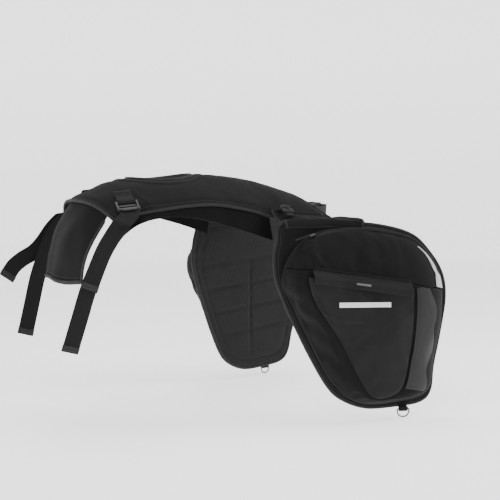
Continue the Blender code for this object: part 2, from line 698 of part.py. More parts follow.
def build_zip_slider(frame):
    """The slider, whose origin is the centre of the arc that the top of the zip follows, and its pull."""
    (centre_u, centre_w), radius = circle_through(seam_uw(2), seam_uw(3), seam_uw(4))
    start = seam_uw(2)
    angle = math.atan2(start[0] - centre_u, start[1] - centre_w)
    seam_v = -wall_point(BODY_OUTLINE[3], SEAM).y
    arc = make_empty("right_zip_arc", local_point(centre_u, seam_v, centre_w), parent=frame)
    place = Matrix.Rotation(angle, 4, "Y") @ Matrix.Translation((0, 0, radius))

    wing = box_mesh((0.013, 0.0095, 0.0026), (0, 0, 0.0064))
    foot = box_mesh((0.012, 0.0040, 0.0030), (0, 0.0028, 0.0058))
    lug = box_mesh((0.004, 0.0030, 0.0026), (0, 0.0, 0.0086))
    slider = None
    for label, bm in (("wing", wing), ("foot", foot), ("lug", lug)):
        bmesh.ops.transform(bm, matrix=place, verts=bm.verts)
        if slider is None:
            slider = from_bmesh("right_zip_slider", bm, METAL, arc, smooth=False)
            continue
        mesh = bpy.data.meshes.new("slider_" + label)
        bm.to_mesh(mesh)
        bm.free()
        extra = link(bpy.data.objects.new("slider_" + label, mesh), parent=arc, collection=CUTTERS)
        extra.hide_render = True
        extra.display_type = "WIRE"
        join = slider.modifiers.new("Join " + label, "BOOLEAN")
        join.operation = "UNION"
        join.object = extra

    pull = make_empty("right_zip_pull_pivot", place @ Vector((-0.0040, 0, 0.0092)), parent=arc)
    pull.rotation_euler = (0, angle, 0)
    tab = make_box("right_zip_pull", (0.034, 0.0075, 0.0022), (-0.0185, 0, 0), TRIM, pull)
    cut(tab, box_cutter("pull_slot", (0.006, 0.004, 0.01), (-0.0300, 0, 0), pull))


def build_pocket(frame):
    sizes = (0.985, *FRONT_RINGS[1:])
    bm = surface_bmesh([[front_point(row, size) for row in BODY_CURVE] for size in sizes], closed=True)
    close_front(bm, len(BODY_CURVE))
    face_away(bm, local_point(0.01, 0.0, -0.02))
    lift_surface(bm, POCKET_LIFT)
    clip_at_split(bm, keep_above=False, shift=-POCKET_DROP)
    pocket = solidify(from_bmesh("right_front_pocket", bm, FABRIC, frame), POCKET_THICKNESS, 1.0)
    pocket.modifiers["Thickness"].use_rim = True

    along = [RAIN_FLAP_U[0] + (RAIN_FLAP_U[1] - RAIN_FLAP_U[0]) * k / 6 for k in range(7)]
    front = drape(pocket, [(u, split_w(u) - POCKET_DROP - 0.004) for u in along], 0.0036)
    across = Vector((math.sin(SPLIT_SLOPE), 0, math.cos(SPLIT_SLOPE)))
    middle = RAIN_FLAP_HEIGHT / 2 + FLAP_DROP
    centres = [Vector((u, p.y, split_w(u) - middle / math.cos(SPLIT_SLOPE))) for u, p in zip(along, front)]
    top_v = max(-p.y for p in front)
    hinge = local_point(0, top_v + 0.001, split_w(0) - FLAP_DROP / math.cos(SPLIT_SLOPE))
    ribbon("right_rain_flap", centres, [across] * 7, RAIN_FLAP_HEIGHT, RAIN_FLAP_THICKNESS, FABRIC,
           frame, hinge)

    tab = [c - Vector((0, 0.0020, 0.001)) for c in centres if -0.035 < c.x < 0.03]
    tab = [tab[0].lerp(tab[-1], 0.10), tab[0].lerp(tab[-1], 0.60)]
    ribbon("right_rain_flap_tab", tab, [across] * 2, 0.007, 0.0012, TAB, frame, hinge)

    chain_u = [u for u in along if -0.1 < u < 0.09]
    shell_front = [front_point_at(u, split_w(u) - 0.0105) for u in chain_u]
    ribbon("right_pocket_zip_chain", [p - Vector((0, 0.0018, 0)) for p in shell_front],
           [across] * len(chain_u), 0.0055, 0.0012, ZIP, frame)
    middle_u = (chain_u[0] + chain_u[-1]) / 2
    end = shell_front[0].lerp(shell_front[-1], 0.06)
    outer = max(-p.y for p in shell_front)
    slide = make_empty("right_pocket_slider_slide", local_point(end.x, outer + 0.0043, end.z), parent=frame)
    slide.rotation_euler = (0, SPLIT_SLOPE, 0)
    make_box("right_pocket_zip_slider", (0.012, 0.0026, 0.0080), (0, 0, 0), METAL, slide)
    assert middle_u > end.x

    bar_u = [-0.068 + 0.118 * k / 5 for k in range(6)]
    bar = drape(pocket, [(u, -0.010 - 0.02 * u) for u in bar_u], 0.0017)
    ribbon("right_reflective_bar", bar, [Vector((0, 0, 1))] * 6, 0.011, 0.0006, REFLECTIVE, frame)


def front_point_at(u, w):
    """A point just outside the shell's front at (u, w)."""
    return local_point(u, front_depth(w) + FRONT_CROWN * 0.62, w)


def build_gloss_gusset(frame):
    rows = closed_curve(BODY_OUTLINE, 3)[18:28]
    grid = [[wall_point(row, s) for row in rows] for s in GLOSS_RINGS]
    bm = surface_bmesh(grid)
    face_away(bm, local_point(0.01, 0.0, -0.02))
    lift_surface(bm, 0.0017)
    clip_at_split(bm, keep_above=False, shift=-0.004)
    solidify(from_bmesh("right_gloss_gusset", bm, GLOSS, frame), 0.0009, 1.0)


def build_bottom_ring(frame):
    """A webbing tab under the bag with a wire ring for a lower tie."""
    anchor = (0.098, -0.2315)
    tab = [local_point(anchor[0], 0.0092 + v, w) for v, w in
           ((0.0, anchor[1] + 0.008), (0.0, anchor[1] + 0.002), (0.0010, anchor[1] - 0.0075),
            (0.0046, anchor[1] - 0.0105), (0.0082, anchor[1] - 0.0075), (0.0082, anchor[1] - 0.0005))]
    ribbon("right_bottom_tab", tab, [Vector((1, 0, 0))] * len(tab), 0.020, WEBBING_THICKNESS, WEBBING, frame)
    pivot = make_empty("right_bottom_ring_pivot", local_point(anchor[0], 0.0138, anchor[1] - 0.0062),
                       (BAG_TILT, 0, 0), frame)
    outline = ((-0.0125, 0.0), (0.0125, 0.0), (0.0125, -0.010), (0.0070, -0.0165), (-0.0070, -0.0165),
               (-0.0125, -0.010))
    data = bpy.data.curves.new("right_bottom_ring", "CURVE")
    data.dimensions = "3D"
    data.bevel_depth = 0.0015
    data.bevel_resolution = 2
    spline = data.splines.new("POLY")
    spline.points.add(len(outline) - 1)
    for target, (u, w) in zip(spline.points, outline):
        target.co = (u, 0, w, 1)
    spline.use_cyclic_u = True
    link(bpy.data.objects.new("right_bottom_ring", data), METAL, pivot)


def build_yoke():
    """The fabric bridge from the saddle's hem to the top of the bag, and its ladder lock."""
    bag = bag_matrix()
    rows = []
    for i in range(6):
        s = i / 5
        row = []
        for j in range(8):
            t = j / 7
            hem_x = 0.072 + 0.118 * t
            start = saddle_point(hem_x, -HALF_WIDTH, PANEL_THICKNESS / 2) + Vector((0, -0.0045, -0.001))
            end = bag @ local_point(-0.150 + 0.165 * t, 0.006, SWING_HINGE_W + 0.0025)
            point = start.lerp(end, s)
            point.z += 0.010 * math.sin(math.pi * s)
            row.append(point)
        rows.append(row)
    bm = surface_bmesh(rows)
    face_away(bm, (0.1, -0.1, -0.4))
    solidify(from_bmesh("right_yoke", bm, FABRIC), 0.003, -1.0)

    spot = Vector(rows[2][0]).lerp(Vector(rows[2][1]), 0.75)
    slope = (rows[2][1] - rows[2][0]).cross(rows[3][0] - rows[1][0])
    normal = slope if slope.z > 0 else -slope
    frame, matrix = lock_frame("right_yoke_lock_frame", spot + normal.normalized() * 0.0075,
                               Vector((-1, 0.1, 0)), normal)
    make_ladder_lock("right_yoke_ladder_lock", 0.016, frame)
    short = sewn_loop("right_yoke_webbing", 0.0155, 0.032, WEBBING, frame)
    return matrix, short


# ---- Assembly -----------------------------------------------------------------------------------
def bag_matrix():
    """From the bag's (u, -v, w) frame to the world: yawed so that it faces back, top tilted inward."""
    turn = Matrix.Rotation(-BAG_YAW, 4, "Z") @ Matrix.Rotation(BAG_TILT * -1, 4, "X")
    return Matrix.Translation(BAG_ORIGIN) @ turn


def build_right_bag():
    swing = make_empty("right_bag_swing")
    offset = Matrix.Translation(local_point(0, SWING_HINGE_V, SWING_HINGE_W))
    swing.matrix_local = bag_matrix() @ offset
    frame = make_empty("right_bag_frame", parent=swing)
    frame.matrix_local = offset.inverted()
    build_back(frame)
    build_shell(frame)
    build_lid(frame)
    build_zip_slider(frame)
    build_pocket(frame)
    build_gloss_gusset(frame)
    build_bottom_ring(frame)


def mirror_right_side():
    """A left-hand twin of each right-hand object, through an empty that mirrors in Y."""
    mirror = make_empty("left_side")
    mirror.scale = (1, -1, 1)
    bpy.context.view_layer.update()
    for obj in list(PARTS.objects) + list(CUTTERS.objects):
        paired = obj.name.startswith(("right_bag", "right_lid", "right_zip", "right_front_pocket",
                                      "right_rain", "right_pocket", "right_reflective", "right_gloss",
                                      "right_bottom", "right_yoke"))
        if not paired or obj.type == "EMPTY":
            continue
        twin = obj.copy()
        twin.name = obj.name.replace("right", "left", 1)
        for collection in obj.users_collection:
            collection.objects.link(twin)
        twin.parent = mirror
        twin.matrix_parent_inverse = Matrix.Identity(4)
        twin.matrix_basis = obj.matrix_world
        for modifier in twin.modifiers:
            if modifier.type == "BOOLEAN":
                modifier.object = mirrored_cutter(modifier.object, mirror)


def mirrored_cutter(cutter, mirror):
    twin = cutter.copy()
    twin.name = cutter.name + "_left"
    CUTTERS.objects.link(twin)
    twin.parent = mirror
    twin.matrix_parent_inverse = Matrix.Identity(4)
    twin.matrix_basis = cutter.matrix_world
    return twin


def main():
    build_saddle_panel()
    build_liner()
    build_cap_ring()
    build_rear_flap()
    build_rear_strap("right", -1, RIGHT_TAIL)
    build_rear_strap("left", 1, LEFT_TAIL)
    build_front_belt()
    build_yoke()
    build_right_bag()
    mirror_right_side()


clear_scene()
PARTS = bpy.data.collections.new("tank_bag")
CUTTERS = bpy.data.collections.new("cutters")
for made in (PARTS, CUTTERS):
    bpy.context.scene.collection.children.link(made)
FABRIC = make_material("black_cordura", (0.018, 0.018, 0.019), 0.85)
RUBBERISED = make_material("rubberised_liner", (0.010, 0.010, 0.011), 0.70)
GLOSS = make_material("coated_fabric", (0.030, 0.030, 0.032), 0.35)
REFLECTIVE = make_material("reflective_tape", (0.42, 0.42, 0.43), 0.40)
WEBBING = make_material("black_webbing", (0.012, 0.012, 0.013), 0.75)
PLASTIC = make_material("black_acetal", (0.015, 0.015, 0.016), 0.40)
METAL = make_material("blackened_metal", (0.08, 0.08, 0.085), 0.35, 1.0)
ZIP = make_material("zip_coil", (0.012, 0.012, 0.012), 0.50)
TRIM = make_material("soft_rubber_trim", (0.014, 0.014, 0.015), 0.60)
TAB = make_material("grey_tab", (0.16, 0.16, 0.165), 0.60)
BOARD = make_material("grey_board", (0.10, 0.10, 0.105), 0.55)
main()
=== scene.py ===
"""Looks for the saddle tank bag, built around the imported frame, in the frame's own metres and axes.

Every soft node is replaced by a sewn piece: padded panels with bound edges, stitched webbing, a settled
lid, shell and pocket, and zips with teeth. The right-hand bag is built in its own frame, with u along
the bag towards the front, v outward and w up, and each of its pieces is mirrored to the left.
"""

import math
from contextlib import contextmanager

import bmesh
import bpy
from mathutils import Matrix, Vector, noise
from mathutils.bvhtree import BVHTree


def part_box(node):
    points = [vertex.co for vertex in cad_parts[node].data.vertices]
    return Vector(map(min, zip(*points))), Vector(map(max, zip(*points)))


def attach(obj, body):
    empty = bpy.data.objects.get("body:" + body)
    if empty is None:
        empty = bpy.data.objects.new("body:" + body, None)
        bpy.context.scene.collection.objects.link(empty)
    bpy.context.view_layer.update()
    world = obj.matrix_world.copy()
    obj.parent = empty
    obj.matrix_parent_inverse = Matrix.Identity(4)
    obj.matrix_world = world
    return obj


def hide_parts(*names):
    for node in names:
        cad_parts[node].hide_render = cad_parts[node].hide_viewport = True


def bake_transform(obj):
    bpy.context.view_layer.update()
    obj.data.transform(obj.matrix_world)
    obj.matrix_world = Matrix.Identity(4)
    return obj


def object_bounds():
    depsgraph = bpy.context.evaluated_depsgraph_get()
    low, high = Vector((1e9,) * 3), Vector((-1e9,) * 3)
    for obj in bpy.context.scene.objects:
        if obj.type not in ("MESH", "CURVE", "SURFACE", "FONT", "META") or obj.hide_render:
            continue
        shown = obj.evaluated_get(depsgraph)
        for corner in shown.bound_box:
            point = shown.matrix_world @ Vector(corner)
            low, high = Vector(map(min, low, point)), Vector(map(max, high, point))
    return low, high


# ---- Camera, light and stage --------------------------------------------------------------------
CAMERA_PLACE = Vector((-1.1787, -2.3844, 0.0304))
CAMERA_AZIMUTH = math.radians(28)
CAMERA_ELEVATION = math.radians(4)
CAMERA_LENS = 85
LIGHTS = (("key", (-1.6, -1.6, 2.0), 1.4, 42), ("rim", (1.9, -0.9, 1.1), 1.0, 30),
          ("top", (0.1, 0.4, 2.2), 1.6, 34))
LIGHT_TARGET = Vector((0, -0.1, -0.2))
SKY_STRENGTH = 0.35
FLOOR_GAP = 0.004
FLOOR_RADIUS = 4.8
FLOOR_BEND = 1.4
WALL_HEIGHT = 2.1

# ---- The frame's driving dimensions -------------------------------------------------------------
HALF_WIDTH = 0.150
PANEL_THICKNESS = 0.005
PAD_THICKNESS = 0.0062
CROWN_PROFILE = ((-0.34, -0.041), (-0.30, -0.022), (-0.25, -0.002), (-0.16, 0.010),
                 (-0.07, 0.0125), (0.03, 0.007), (0.12, -0.011), (0.23, -0.044))
HEM_PROFILE = ((-0.31, -0.075), (-0.25, -0.064), (-0.145, -0.050), (-0.075, -0.047),
               (0.01, -0.060), (0.07, -0.0765), (0.23, -0.084))
SECTION_POWER = 2.2
REAR_EDGE_X = -0.333
REAR_EDGE_SWEEP = 0.030
FRONT_EDGE_X = 0.170
FRONT_EDGE_SWEEP = 0.048
CAP_CENTRE_X = -0.138
CAP_RADII = (0.076, 0.066)
LINER_DEPTH = 0.0062
LINER_X = (-0.294, 0.058)
LINER_HALF = 0.144
LINER_EDGE_PROFILE = ((-0.30, -0.118), (-0.25, -0.084), (-0.18, -0.0715), (-0.12, -0.076),
                      (-0.04, -0.0955), (0.06, -0.127))
LINER_EDGE_Y = 0.161
FLAP_TOP_X = -0.325
FLAP_BOTTOM = Vector((-0.378, 0.112, -0.205))
FLAP_TOP_HALF = 0.128

BAG_ORIGIN = Vector((0.2132, -0.250, -0.2554))
BAG_YAW = math.radians(14)
BAG_TILT = math.radians(6)
PANEL_OUTLINE = ((-0.160, 0.170), (-0.060, 0.170), (0.050, 0.163), (0.130, 0.142), (0.172, 0.104),
                 (0.201, 0.055), (0.2065, 0.000), (0.191, -0.078), (0.174, -0.146), (0.165, -0.200),
                 (0.140, -0.224), (0.080, -0.2315), (0.015, -0.232), (-0.037, -0.213),
                 (-0.070, -0.183), (-0.106, -0.120), (-0.133, -0.064), (-0.158, -0.009),
                 (-0.178, 0.048), (-0.181, 0.090), (-0.175, 0.130))
BODY_OUTLINE = ((-0.164, 0.044, -0.127, 0.040), (-0.145, 0.096, -0.119, 0.062),
                (-0.100, 0.139, -0.080, 0.066), (-0.020, 0.157, -0.020, 0.062),
                (0.070, 0.150, 0.055, 0.056), (0.145, 0.122, 0.099, 0.046),
                (0.192, 0.045, 0.1065, 0.020), (0.192, -0.045, 0.105, -0.040),
                (0.172, -0.130, 0.098, -0.120), (0.155, -0.200, 0.083, -0.190),
                (0.080, -0.220, 0.045, -0.211), (0.000, -0.219, 0.013, -0.205),
                (-0.060, -0.172, -0.016, -0.162), (-0.110, -0.078, -0.062, -0.080),
                (-0.145, -0.002, -0.112, -0.008))
PANEL_MIDDLE = (0.012, -0.035)
BACK_THICKNESS = 0.008
BODY_BASE_V = BACK_THICKNESS + 0.0006
FRONT_V_TOP = 0.074
FRONT_V_BOTTOM = 0.047
FRONT_CROWN = 0.006
BULGE_POWER = 1.6
FRONT_CENTRE = (0.015, -0.050)
SEAM = 0.187
LID_SEAM = SEAM + 0.006
LID_SEAM_DEPTH = 0.0315
SPLIT_W = 0.047
SPLIT_SLOPE = math.radians(8.6)
YOKE_WIDTH = 0.172
SLIDER_ANGLE = math.radians(-19.6)
SWING_HINGE_W = 0.1735
POCKET_DROP = 0.017
POCKET_DEPTH = 0.009
POCKET_ZIP_SPAN = (-0.100, 0.088)
RAIN_FLAP_SPAN = (-0.1175, 0.1005)
BAR_SPAN = (-0.066, 0.048)
BAR_HEIGHT = 0.0105
WIDE_WEBBING = 0.036
WEBBING_THICKNESS = 0.0016
LOCK_LENGTH = 0.030
STRAP_ROUTE = ((-0.292, 0.170, -0.083), (-0.311, 0.1725, -0.104), (-0.330, 0.171, -0.133),
               (-0.348, 0.167, -0.175), (-0.364, 0.162, -0.217), (-0.380, 0.155, -0.275),
               (-0.398, 0.147, -0.340))
RIGHT_TAIL = ((-0.297, 0.1765, -0.083), (-0.317, 0.179, -0.108), (-0.336, 0.178, -0.139),
              (-0.353, 0.175, -0.180), (-0.366, 0.174, -0.214))
LEFT_TAIL = ((-0.300, 0.178, -0.082), (-0.322, 0.182, -0.108), (-0.345, 0.184, -0.140),
             (-0.366, 0.183, -0.160), (-0.392, 0.180, -0.174), (-0.414, 0.176, -0.190),
             (-0.432, 0.171, -0.215))
BELT_ROUTE = ((0.190, 0.102, -0.062), (0.222, 0.092, -0.0655), (0.243, 0.078, -0.066),
              (0.2545, 0.060, -0.066), (0.256, 0.036, -0.066))


# ---- Sewing -------------------------------------------------------------------------------------
PANEL_CLOTH = 0.0024
BAG_CLOTH = 0.0022
POCKET_THICKNESS = 0.0020
FLAP_THICKNESS = 0.0016
TAPE_CLOTH = 0.0009
THREAD_LIFT = 0.0001
SAME_SPOT = 1e-6
SHARP_ANGLE = math.radians(50)
FILLET_STEPS = 3
CLOTH_FRAMES = 16
CALM_REACH = (0.010, 0.050)
STRAP_TURN_STEPS = 9
FINE_STEP = 0.002


# ---- Curves and profiles ------------------------------------------------------------------------
def profile_at(points, x):
    """Height at x of a smooth curve through (x, z) points."""
    x = min(max(x, points[0][0]), points[-1][0])
    last = len(points) - 1

    def slope(k):
        (xa, za), (xb, zb) = points[max(k - 1, 0)], points[min(k + 1, last)]
        return (zb - za) / (xb - xa)

    k = max(i for i in range(last) if points[i][0] <= x)
    (x0, z0), (x1, z1) = points[k], points[k + 1]
    span = x1 - x0
    t = (x - x0) / span
    return ((2 * t**3 - 3 * t**2 + 1) * z0 + (t**3 - 2 * t**2 + t) * span * slope(k)
            + (-2 * t**3 + 3 * t**2) * z1 + (t**3 - t**2) * span * slope(k + 1))


def catmull(p0, p1, p2, p3, t):
    """A point of the smooth curve from p1 to p2."""
    return 0.5 * (2 * p1 + (p2 - p0) * t + (2 * p0 - 5 * p1 + 4 * p2 - p3) * t**2
                  + (3 * p1 - p0 - 3 * p2 + p3) * t**3)


def closed_curve(points, per_span):
    """A smooth loop through the points, with per_span steps from each to the next."""
    rows = [Vector(p) for p in points]
    n = len(rows)
    return [catmull(rows[i - 1], rows[i], rows[(i + 1) % n], rows[(i + 2) % n], k / per_span)
            for i in range(n) for k in range(per_span)]


def open_curve(points, per_span):
    """A smooth curve through the points, with per_span steps from each to the next."""
    rows = [Vector(p) for p in points]
    rows = [2 * rows[0] - rows[1], *rows, 2 * rows[-1] - rows[-2]]
    made = [catmull(*rows[i:i + 4], k / per_span) for i in range(len(rows) - 3) for k in range(per_span)]
    return [*made, rows[-2]]


def smooth_step(t):
    """0 up to t = 0 and 1 from t = 1, with a soft rise between."""
    t = min(max(t, 0.0), 1.0)
    return t * t * (3 - 2 * t)


def bump(distance, width):
    """1 at distance 0, falling away over width."""
    return math.exp(-(distance / width) ** 2)


def resample(points, pitch, closed=False):
    """Points about pitch apart along the polyline."""
    rows = [Vector(p) for p in points]
    if closed:
        rows.append(rows[0])
    lengths = [(b - a).length for a, b in zip(rows, rows[1:])]
    count = max(2, round(sum(lengths) / pitch))
    step = sum(lengths) / count
    made = []
    k, gone = 0, 0.0
    for i in range(count if closed else count + 1):
        target = min(i * step, sum(lengths) - 1e-9)
        while gone + lengths[k] < target:
            gone += lengths[k]
            k += 1
        made.append(rows[k].lerp(rows[k + 1], (target - gone) / lengths[k]))
    return made


def square_to(points, faces, closed=False):
    """At each point of the path, the direction in its face that is square to the path."""
    n = len(points)
    ahead = [points[(i + 1) % n] if closed or i + 1 < n else points[i] for i in range(n)]
    behind = [points[i - 1] if closed or i else points[i] for i in range(n)]
    return [(a - b).cross(face).normalized() for a, b, face in zip(ahead, behind, faces)]


def spread(low, high, count):
    """count even steps from low to high, both included."""
    return [low + (high - low) * k / (count - 1) for k in range(count)]


def round_angles(count):
    """The angles of count even steps round a circle."""
    return [2 * math.pi * k / count for k in range(count)]


# ---- Meshes -------------------------------------------------------------------------------------
def new_object(name, data):
    """An object in the scene with this data."""
    obj = bpy.data.objects.new(name, data)
    bpy.context.scene.collection.objects.link(obj)
    return obj


@contextmanager
def editing(obj):
    """The object's mesh as a bmesh, which is written back at the end."""
    bm = bmesh.new()
    bm.from_mesh(obj.data)
    yield bm
    bm.to_mesh(obj.data)
    bm.free()


def grid_object(name, rows, closed=False):
    """A quad surface through rows of points, with a UV map in metres. closed joins each row's ends."""
    columns = len(rows[0])
    spans = columns if closed else columns - 1
    along = [0.0]
    middle = rows[len(rows) // 2]
    for j in range(spans):
        along.append(along[-1] + (middle[(j + 1) % columns] - middle[j]).length)
    down = [0.0]
    for low, high in zip(rows, rows[1:]):
        down.append(down[-1] + (high[columns // 3] - low[columns // 3]).length)
    faces, coords = [], []
    for i in range(len(rows) - 1):
        for j in range(spans):
            k = (j + 1) % columns
            faces.append((i * columns + j, i * columns + k, (i + 1) * columns + k, (i + 1) * columns + j))
            coords += [(along[j], down[i]), (along[j + 1], down[i]),
                       (along[j + 1], down[i + 1]), (along[j], down[i + 1])]
    mesh = bpy.data.meshes.new(name)
    mesh.from_pydata([p for row in rows for p in row], [], faces)
    layer = mesh.uv_layers.new(name="UVMap")
    for loop, uv in enumerate(coords):
        layer.data[loop].uv = uv
    return new_object(name, mesh)


def merge_centre(obj):
    """Joins the points of a last row that all lie on one spot."""
    with editing(obj) as bm:
        bmesh.ops.remove_doubles(bm, verts=bm.verts, dist=SAME_SPOT)
    return obj


def close_ends(obj):
    """Fills the surface's open ends and turns its faces outward."""
    with editing(obj) as bm:
        ends = [e for e in bm.edges if e.is_boundary]
        if ends:
            bmesh.ops.holes_fill(bm, edges=ends, sides=0)
        bmesh.ops.recalc_face_normals(bm, faces=bm.faces)
    obj.data.shade_smooth()
    return obj


def face_away(obj, centre):
    """Turns the surface so that its faces point away from centre."""
    total = sum((p.center - Vector(centre)).dot(p.normal) * p.area for p in obj.data.polygons)
    if total < 0:
        obj.data.flip_normals()
    return obj


def sweep(name, centres, across, section, closed=False):
    """Sweeps a closed section of (a, b) offsets, a along across and b out of the face, along centres."""
    n = len(centres)
    rows = []
    for i in range(n):
        ahead = centres[(i + 1) % n] if closed or i + 1 < n else centres[i]
        behind = centres[i - 1] if closed or i > 0 else centres[i]
        tangent = (ahead - behind).normalized()
        side = (across[i] - tangent * across[i].dot(tangent)).normalized()
        out = side.cross(tangent)
        rows.append([centres[i] + side * a + out * b for a, b in section])
    if not closed:
        return close_ends(grid_object(name, rows, closed=True))
    return close_ends(merge_centre(grid_object(name, [*rows, rows[0]], closed=True)))


def oval(half_a, half_b, steps=10):
    """An oval section."""
    return [(half_a * math.cos(t), half_b * math.sin(t)) for t in round_angles(steps)]


def flat_section(width, thickness):
    """A webbing's section: flat faces with rounded selvedges."""
    a, b, r = width / 2, thickness / 2, thickness * 0.45
    upper = [(r * 0.4 - a, b * 0.8), (r * 1.6 - a, b), (0, b), (a - r * 1.6, b), (a - r * 0.4, b * 0.8)]
    return [(-a, 0), *upper, (a, 0), *[(x, -y) for x, y in reversed(upper)]]


def bake(obj):
    """Applies the object's modifiers to its mesh."""
    graph = bpy.context.evaluated_depsgraph_get()
    evaluated = obj.evaluated_get(graph)
    mesh = bpy.data.meshes.new_from_object(evaluated, preserve_all_data_layers=True, depsgraph=graph)
    obj.modifiers.clear()
    obj.vertex_groups.clear()
    obj.data = mesh
    return obj


def cut_away(obj, cutter):
    """Cuts the cutter's shape out of the object, and removes the cutter."""
    cut = obj.modifiers.new("Cut", "BOOLEAN")
    cut.operation = "DIFFERENCE"
    cut.object = cutter
    bake(obj)
    bpy.data.objects.remove(cutter)
    obj.data.shade_smooth()
    obj.data.set_sharp_from_angle(angle=SHARP_ANGLE)
    return obj


def thicken(obj, thickness, offset=-1.0, levels=1):
    """Gives a sheet its thickness, rounds it with levels of subdivision and applies both."""
    solid = obj.modifiers.new("Thickness", "SOLIDIFY")
    solid.thickness = thickness
    solid.offset = offset
    solid.use_even_offset = True
    solid.thickness_clamp = 1.0
    if levels:
        obj.modifiers.new("Round", "SUBSURF").levels = levels
    bake(obj)
    obj.data.shade_smooth()
    return obj


def move_points(obj, shift):
    """Moves each point by shift(point, normal), a vector."""
    normals = [v.normal.copy() for v in obj.data.vertices]
    for vert, normal in zip(obj.data.vertices, normals):
        vert.co = vert.co + shift(vert.co.copy(), normal)
    obj.data.update()
    return obj


def settle_cloth(obj, pinned, pressure, slack, cap, soften=2, calm=None):
    """Lets the sheet settle with a little spare cloth between its pinned seams, then keeps the result.

    pinned(point) is 1 on a seam and 0 where the cloth is free. No point moves further than cap, and the
    cloth stays as it is drawn close to the point calm."""
    group = obj.vertex_groups.new(name="seams")
    for vert in obj.data.vertices:
        weight = pinned(vert.co)
        if weight > 0:
            group.add([vert.index], weight, "REPLACE")
    cloth = obj.modifiers.new("Cloth", "CLOTH")
    settings = cloth.settings
    settings.quality = 6
    settings.mass = 0.2
    settings.tension_stiffness = 18
    settings.compression_stiffness = 18
    settings.shear_stiffness = 6
    settings.bending_stiffness = 0.35
    settings.vertex_group_mass = group.name
    settings.use_pressure = True
    settings.uniform_pressure_force = pressure
    settings.shrink_min = -slack
    settings.effector_weights.gravity = 0
    cloth.collision_settings.use_collision = False
    cloth.point_cache.frame_start = 1
    cloth.point_cache.frame_end = CLOTH_FRAMES
    for number in range(1, CLOTH_FRAMES + 1):
        bpy.context.scene.frame_set(number)
    graph = bpy.context.evaluated_depsgraph_get()
    settled = obj.evaluated_get(graph).to_mesh()
    places = [v.co.copy() for v in settled.vertices]
    obj.evaluated_get(graph).to_mesh_clear()
    obj.modifiers.remove(cloth)
    obj.vertex_groups.clear()
    for vert, place in zip(obj.data.vertices, places):
        move = place - vert.co
        if move.length > cap:
            move *= cap / move.length
        if calm:
            move *= smooth_step(((vert.co - calm).length - CALM_REACH[0]) / (CALM_REACH[1] - CALM_REACH[0]))
        vert.co = vert.co + move
    obj.data.update()
    bpy.context.scene.frame_set(1)
    with editing(obj) as bm:
        free = [v for v in bm.verts if not v.is_boundary and not pinned(v.co)]
        for _ in range(soften):
            bmesh.ops.smooth_vert(bm, verts=free, factor=0.5, use_axis_x=True, use_axis_y=True,
                                  use_axis_z=True)
    return obj


def tree_of(obj):
    """The object's faces, to drop points on."""
    graph = bpy.context.evaluated_depsgraph_get()
    return BVHTree.FromObject(obj.evaluated_get(graph), graph)


def drop_on(tree, points, direction, lift):
    """Each point moved onto the tree's face along direction, then lifted back; and the face normals."""
    places, normals = [], []
    for point in points:
        hit, normal, _, _ = tree.ray_cast(point - direction * 0.2, direction)
        if hit is None:
            hit, normal, _, _ = tree.find_nearest(point)
        if normal.dot(direction) > 0:
            normal = -normal
        places.append(hit + normal * lift)
        normals.append(normal)
    return places, normals


def settle_on(tree, points, ways, lift):
    """The face places nearest the points, which first move by lift along their ways; and the face normals."""
    places, normals = [], []
    for point, way in zip(points, ways):
        hit, normal, _, _ = tree.find_nearest(point + way * lift)
        if normal.dot(way) < 0:
            normal = -normal
        places.append(hit + normal * THREAD_LIFT)
        normals.append(normal)
    return places, normals


def stitches(name, path, normals, pitch=0.0042, length=0.0030, radius=0.00042, closed=False):
    """A run of thread: one small tapered bar for each stitch along the path."""
    bm = bmesh.new()
    spots = resample(path, pitch, closed)
    section = ((1, 0), (0, 1), (-1, 0), (0, -1))
    k = 0
    for i, spot in enumerate(spots):
        ahead = spots[(i + 1) % len(spots)] if i + 1 < len(spots) or closed else spot * 2 - spots[i - 1]
        tangent = (ahead - spot).normalized()
        while k + 1 < min(len(path), len(normals)) and (path[k + 1] - spot).length < (path[k] - spot).length:
            k += 1
        normal = normals[k]
        side = tangent.cross(normal)
        if side.length < SAME_SPOT:
            continue
        side.normalize()
        rings = []
        for t, scale, height in ((-0.5, 0.35, -0.6), (-0.22, 1.0, 0.4), (0.22, 1.0, 0.4), (0.5, 0.35, -0.6)):
            centre = spot + tangent * length * t + normal * radius * height
            rings.append([bm.verts.new(centre + (side * a + normal * b) * radius * scale)
                          for a, b in section])
        for low, high in zip(rings, rings[1:]):
            for j in range(4):
                bm.faces.new((low[j], low[(j + 1) % 4], high[(j + 1) % 4], high[j]))
        bm.faces.new(rings[0])
        bm.faces.new(rings[-1])
    bmesh.ops.recalc_face_normals(bm, faces=bm.faces)
    mesh = bpy.data.meshes.new(name)
    bm.to_mesh(mesh)
    bm.free()
    return new_object(name, mesh)


def seam(name, tree, line, direction, closed=False):
    """Stitches along the line, dropped onto the tree's face."""
    return stitches(name, *drop_on(tree, line, direction, THREAD_LIFT), closed=closed)


def from_bmesh(name, bm):
    """An object of the bmesh, shaded smooth between its sharp edges."""
    mesh = bpy.data.meshes.new(name)
    bm.to_mesh(mesh)
    bm.free()
    mesh.shade_smooth()
    mesh.set_sharp_from_angle(angle=SHARP_ANGLE)
    return new_object(name, mesh)


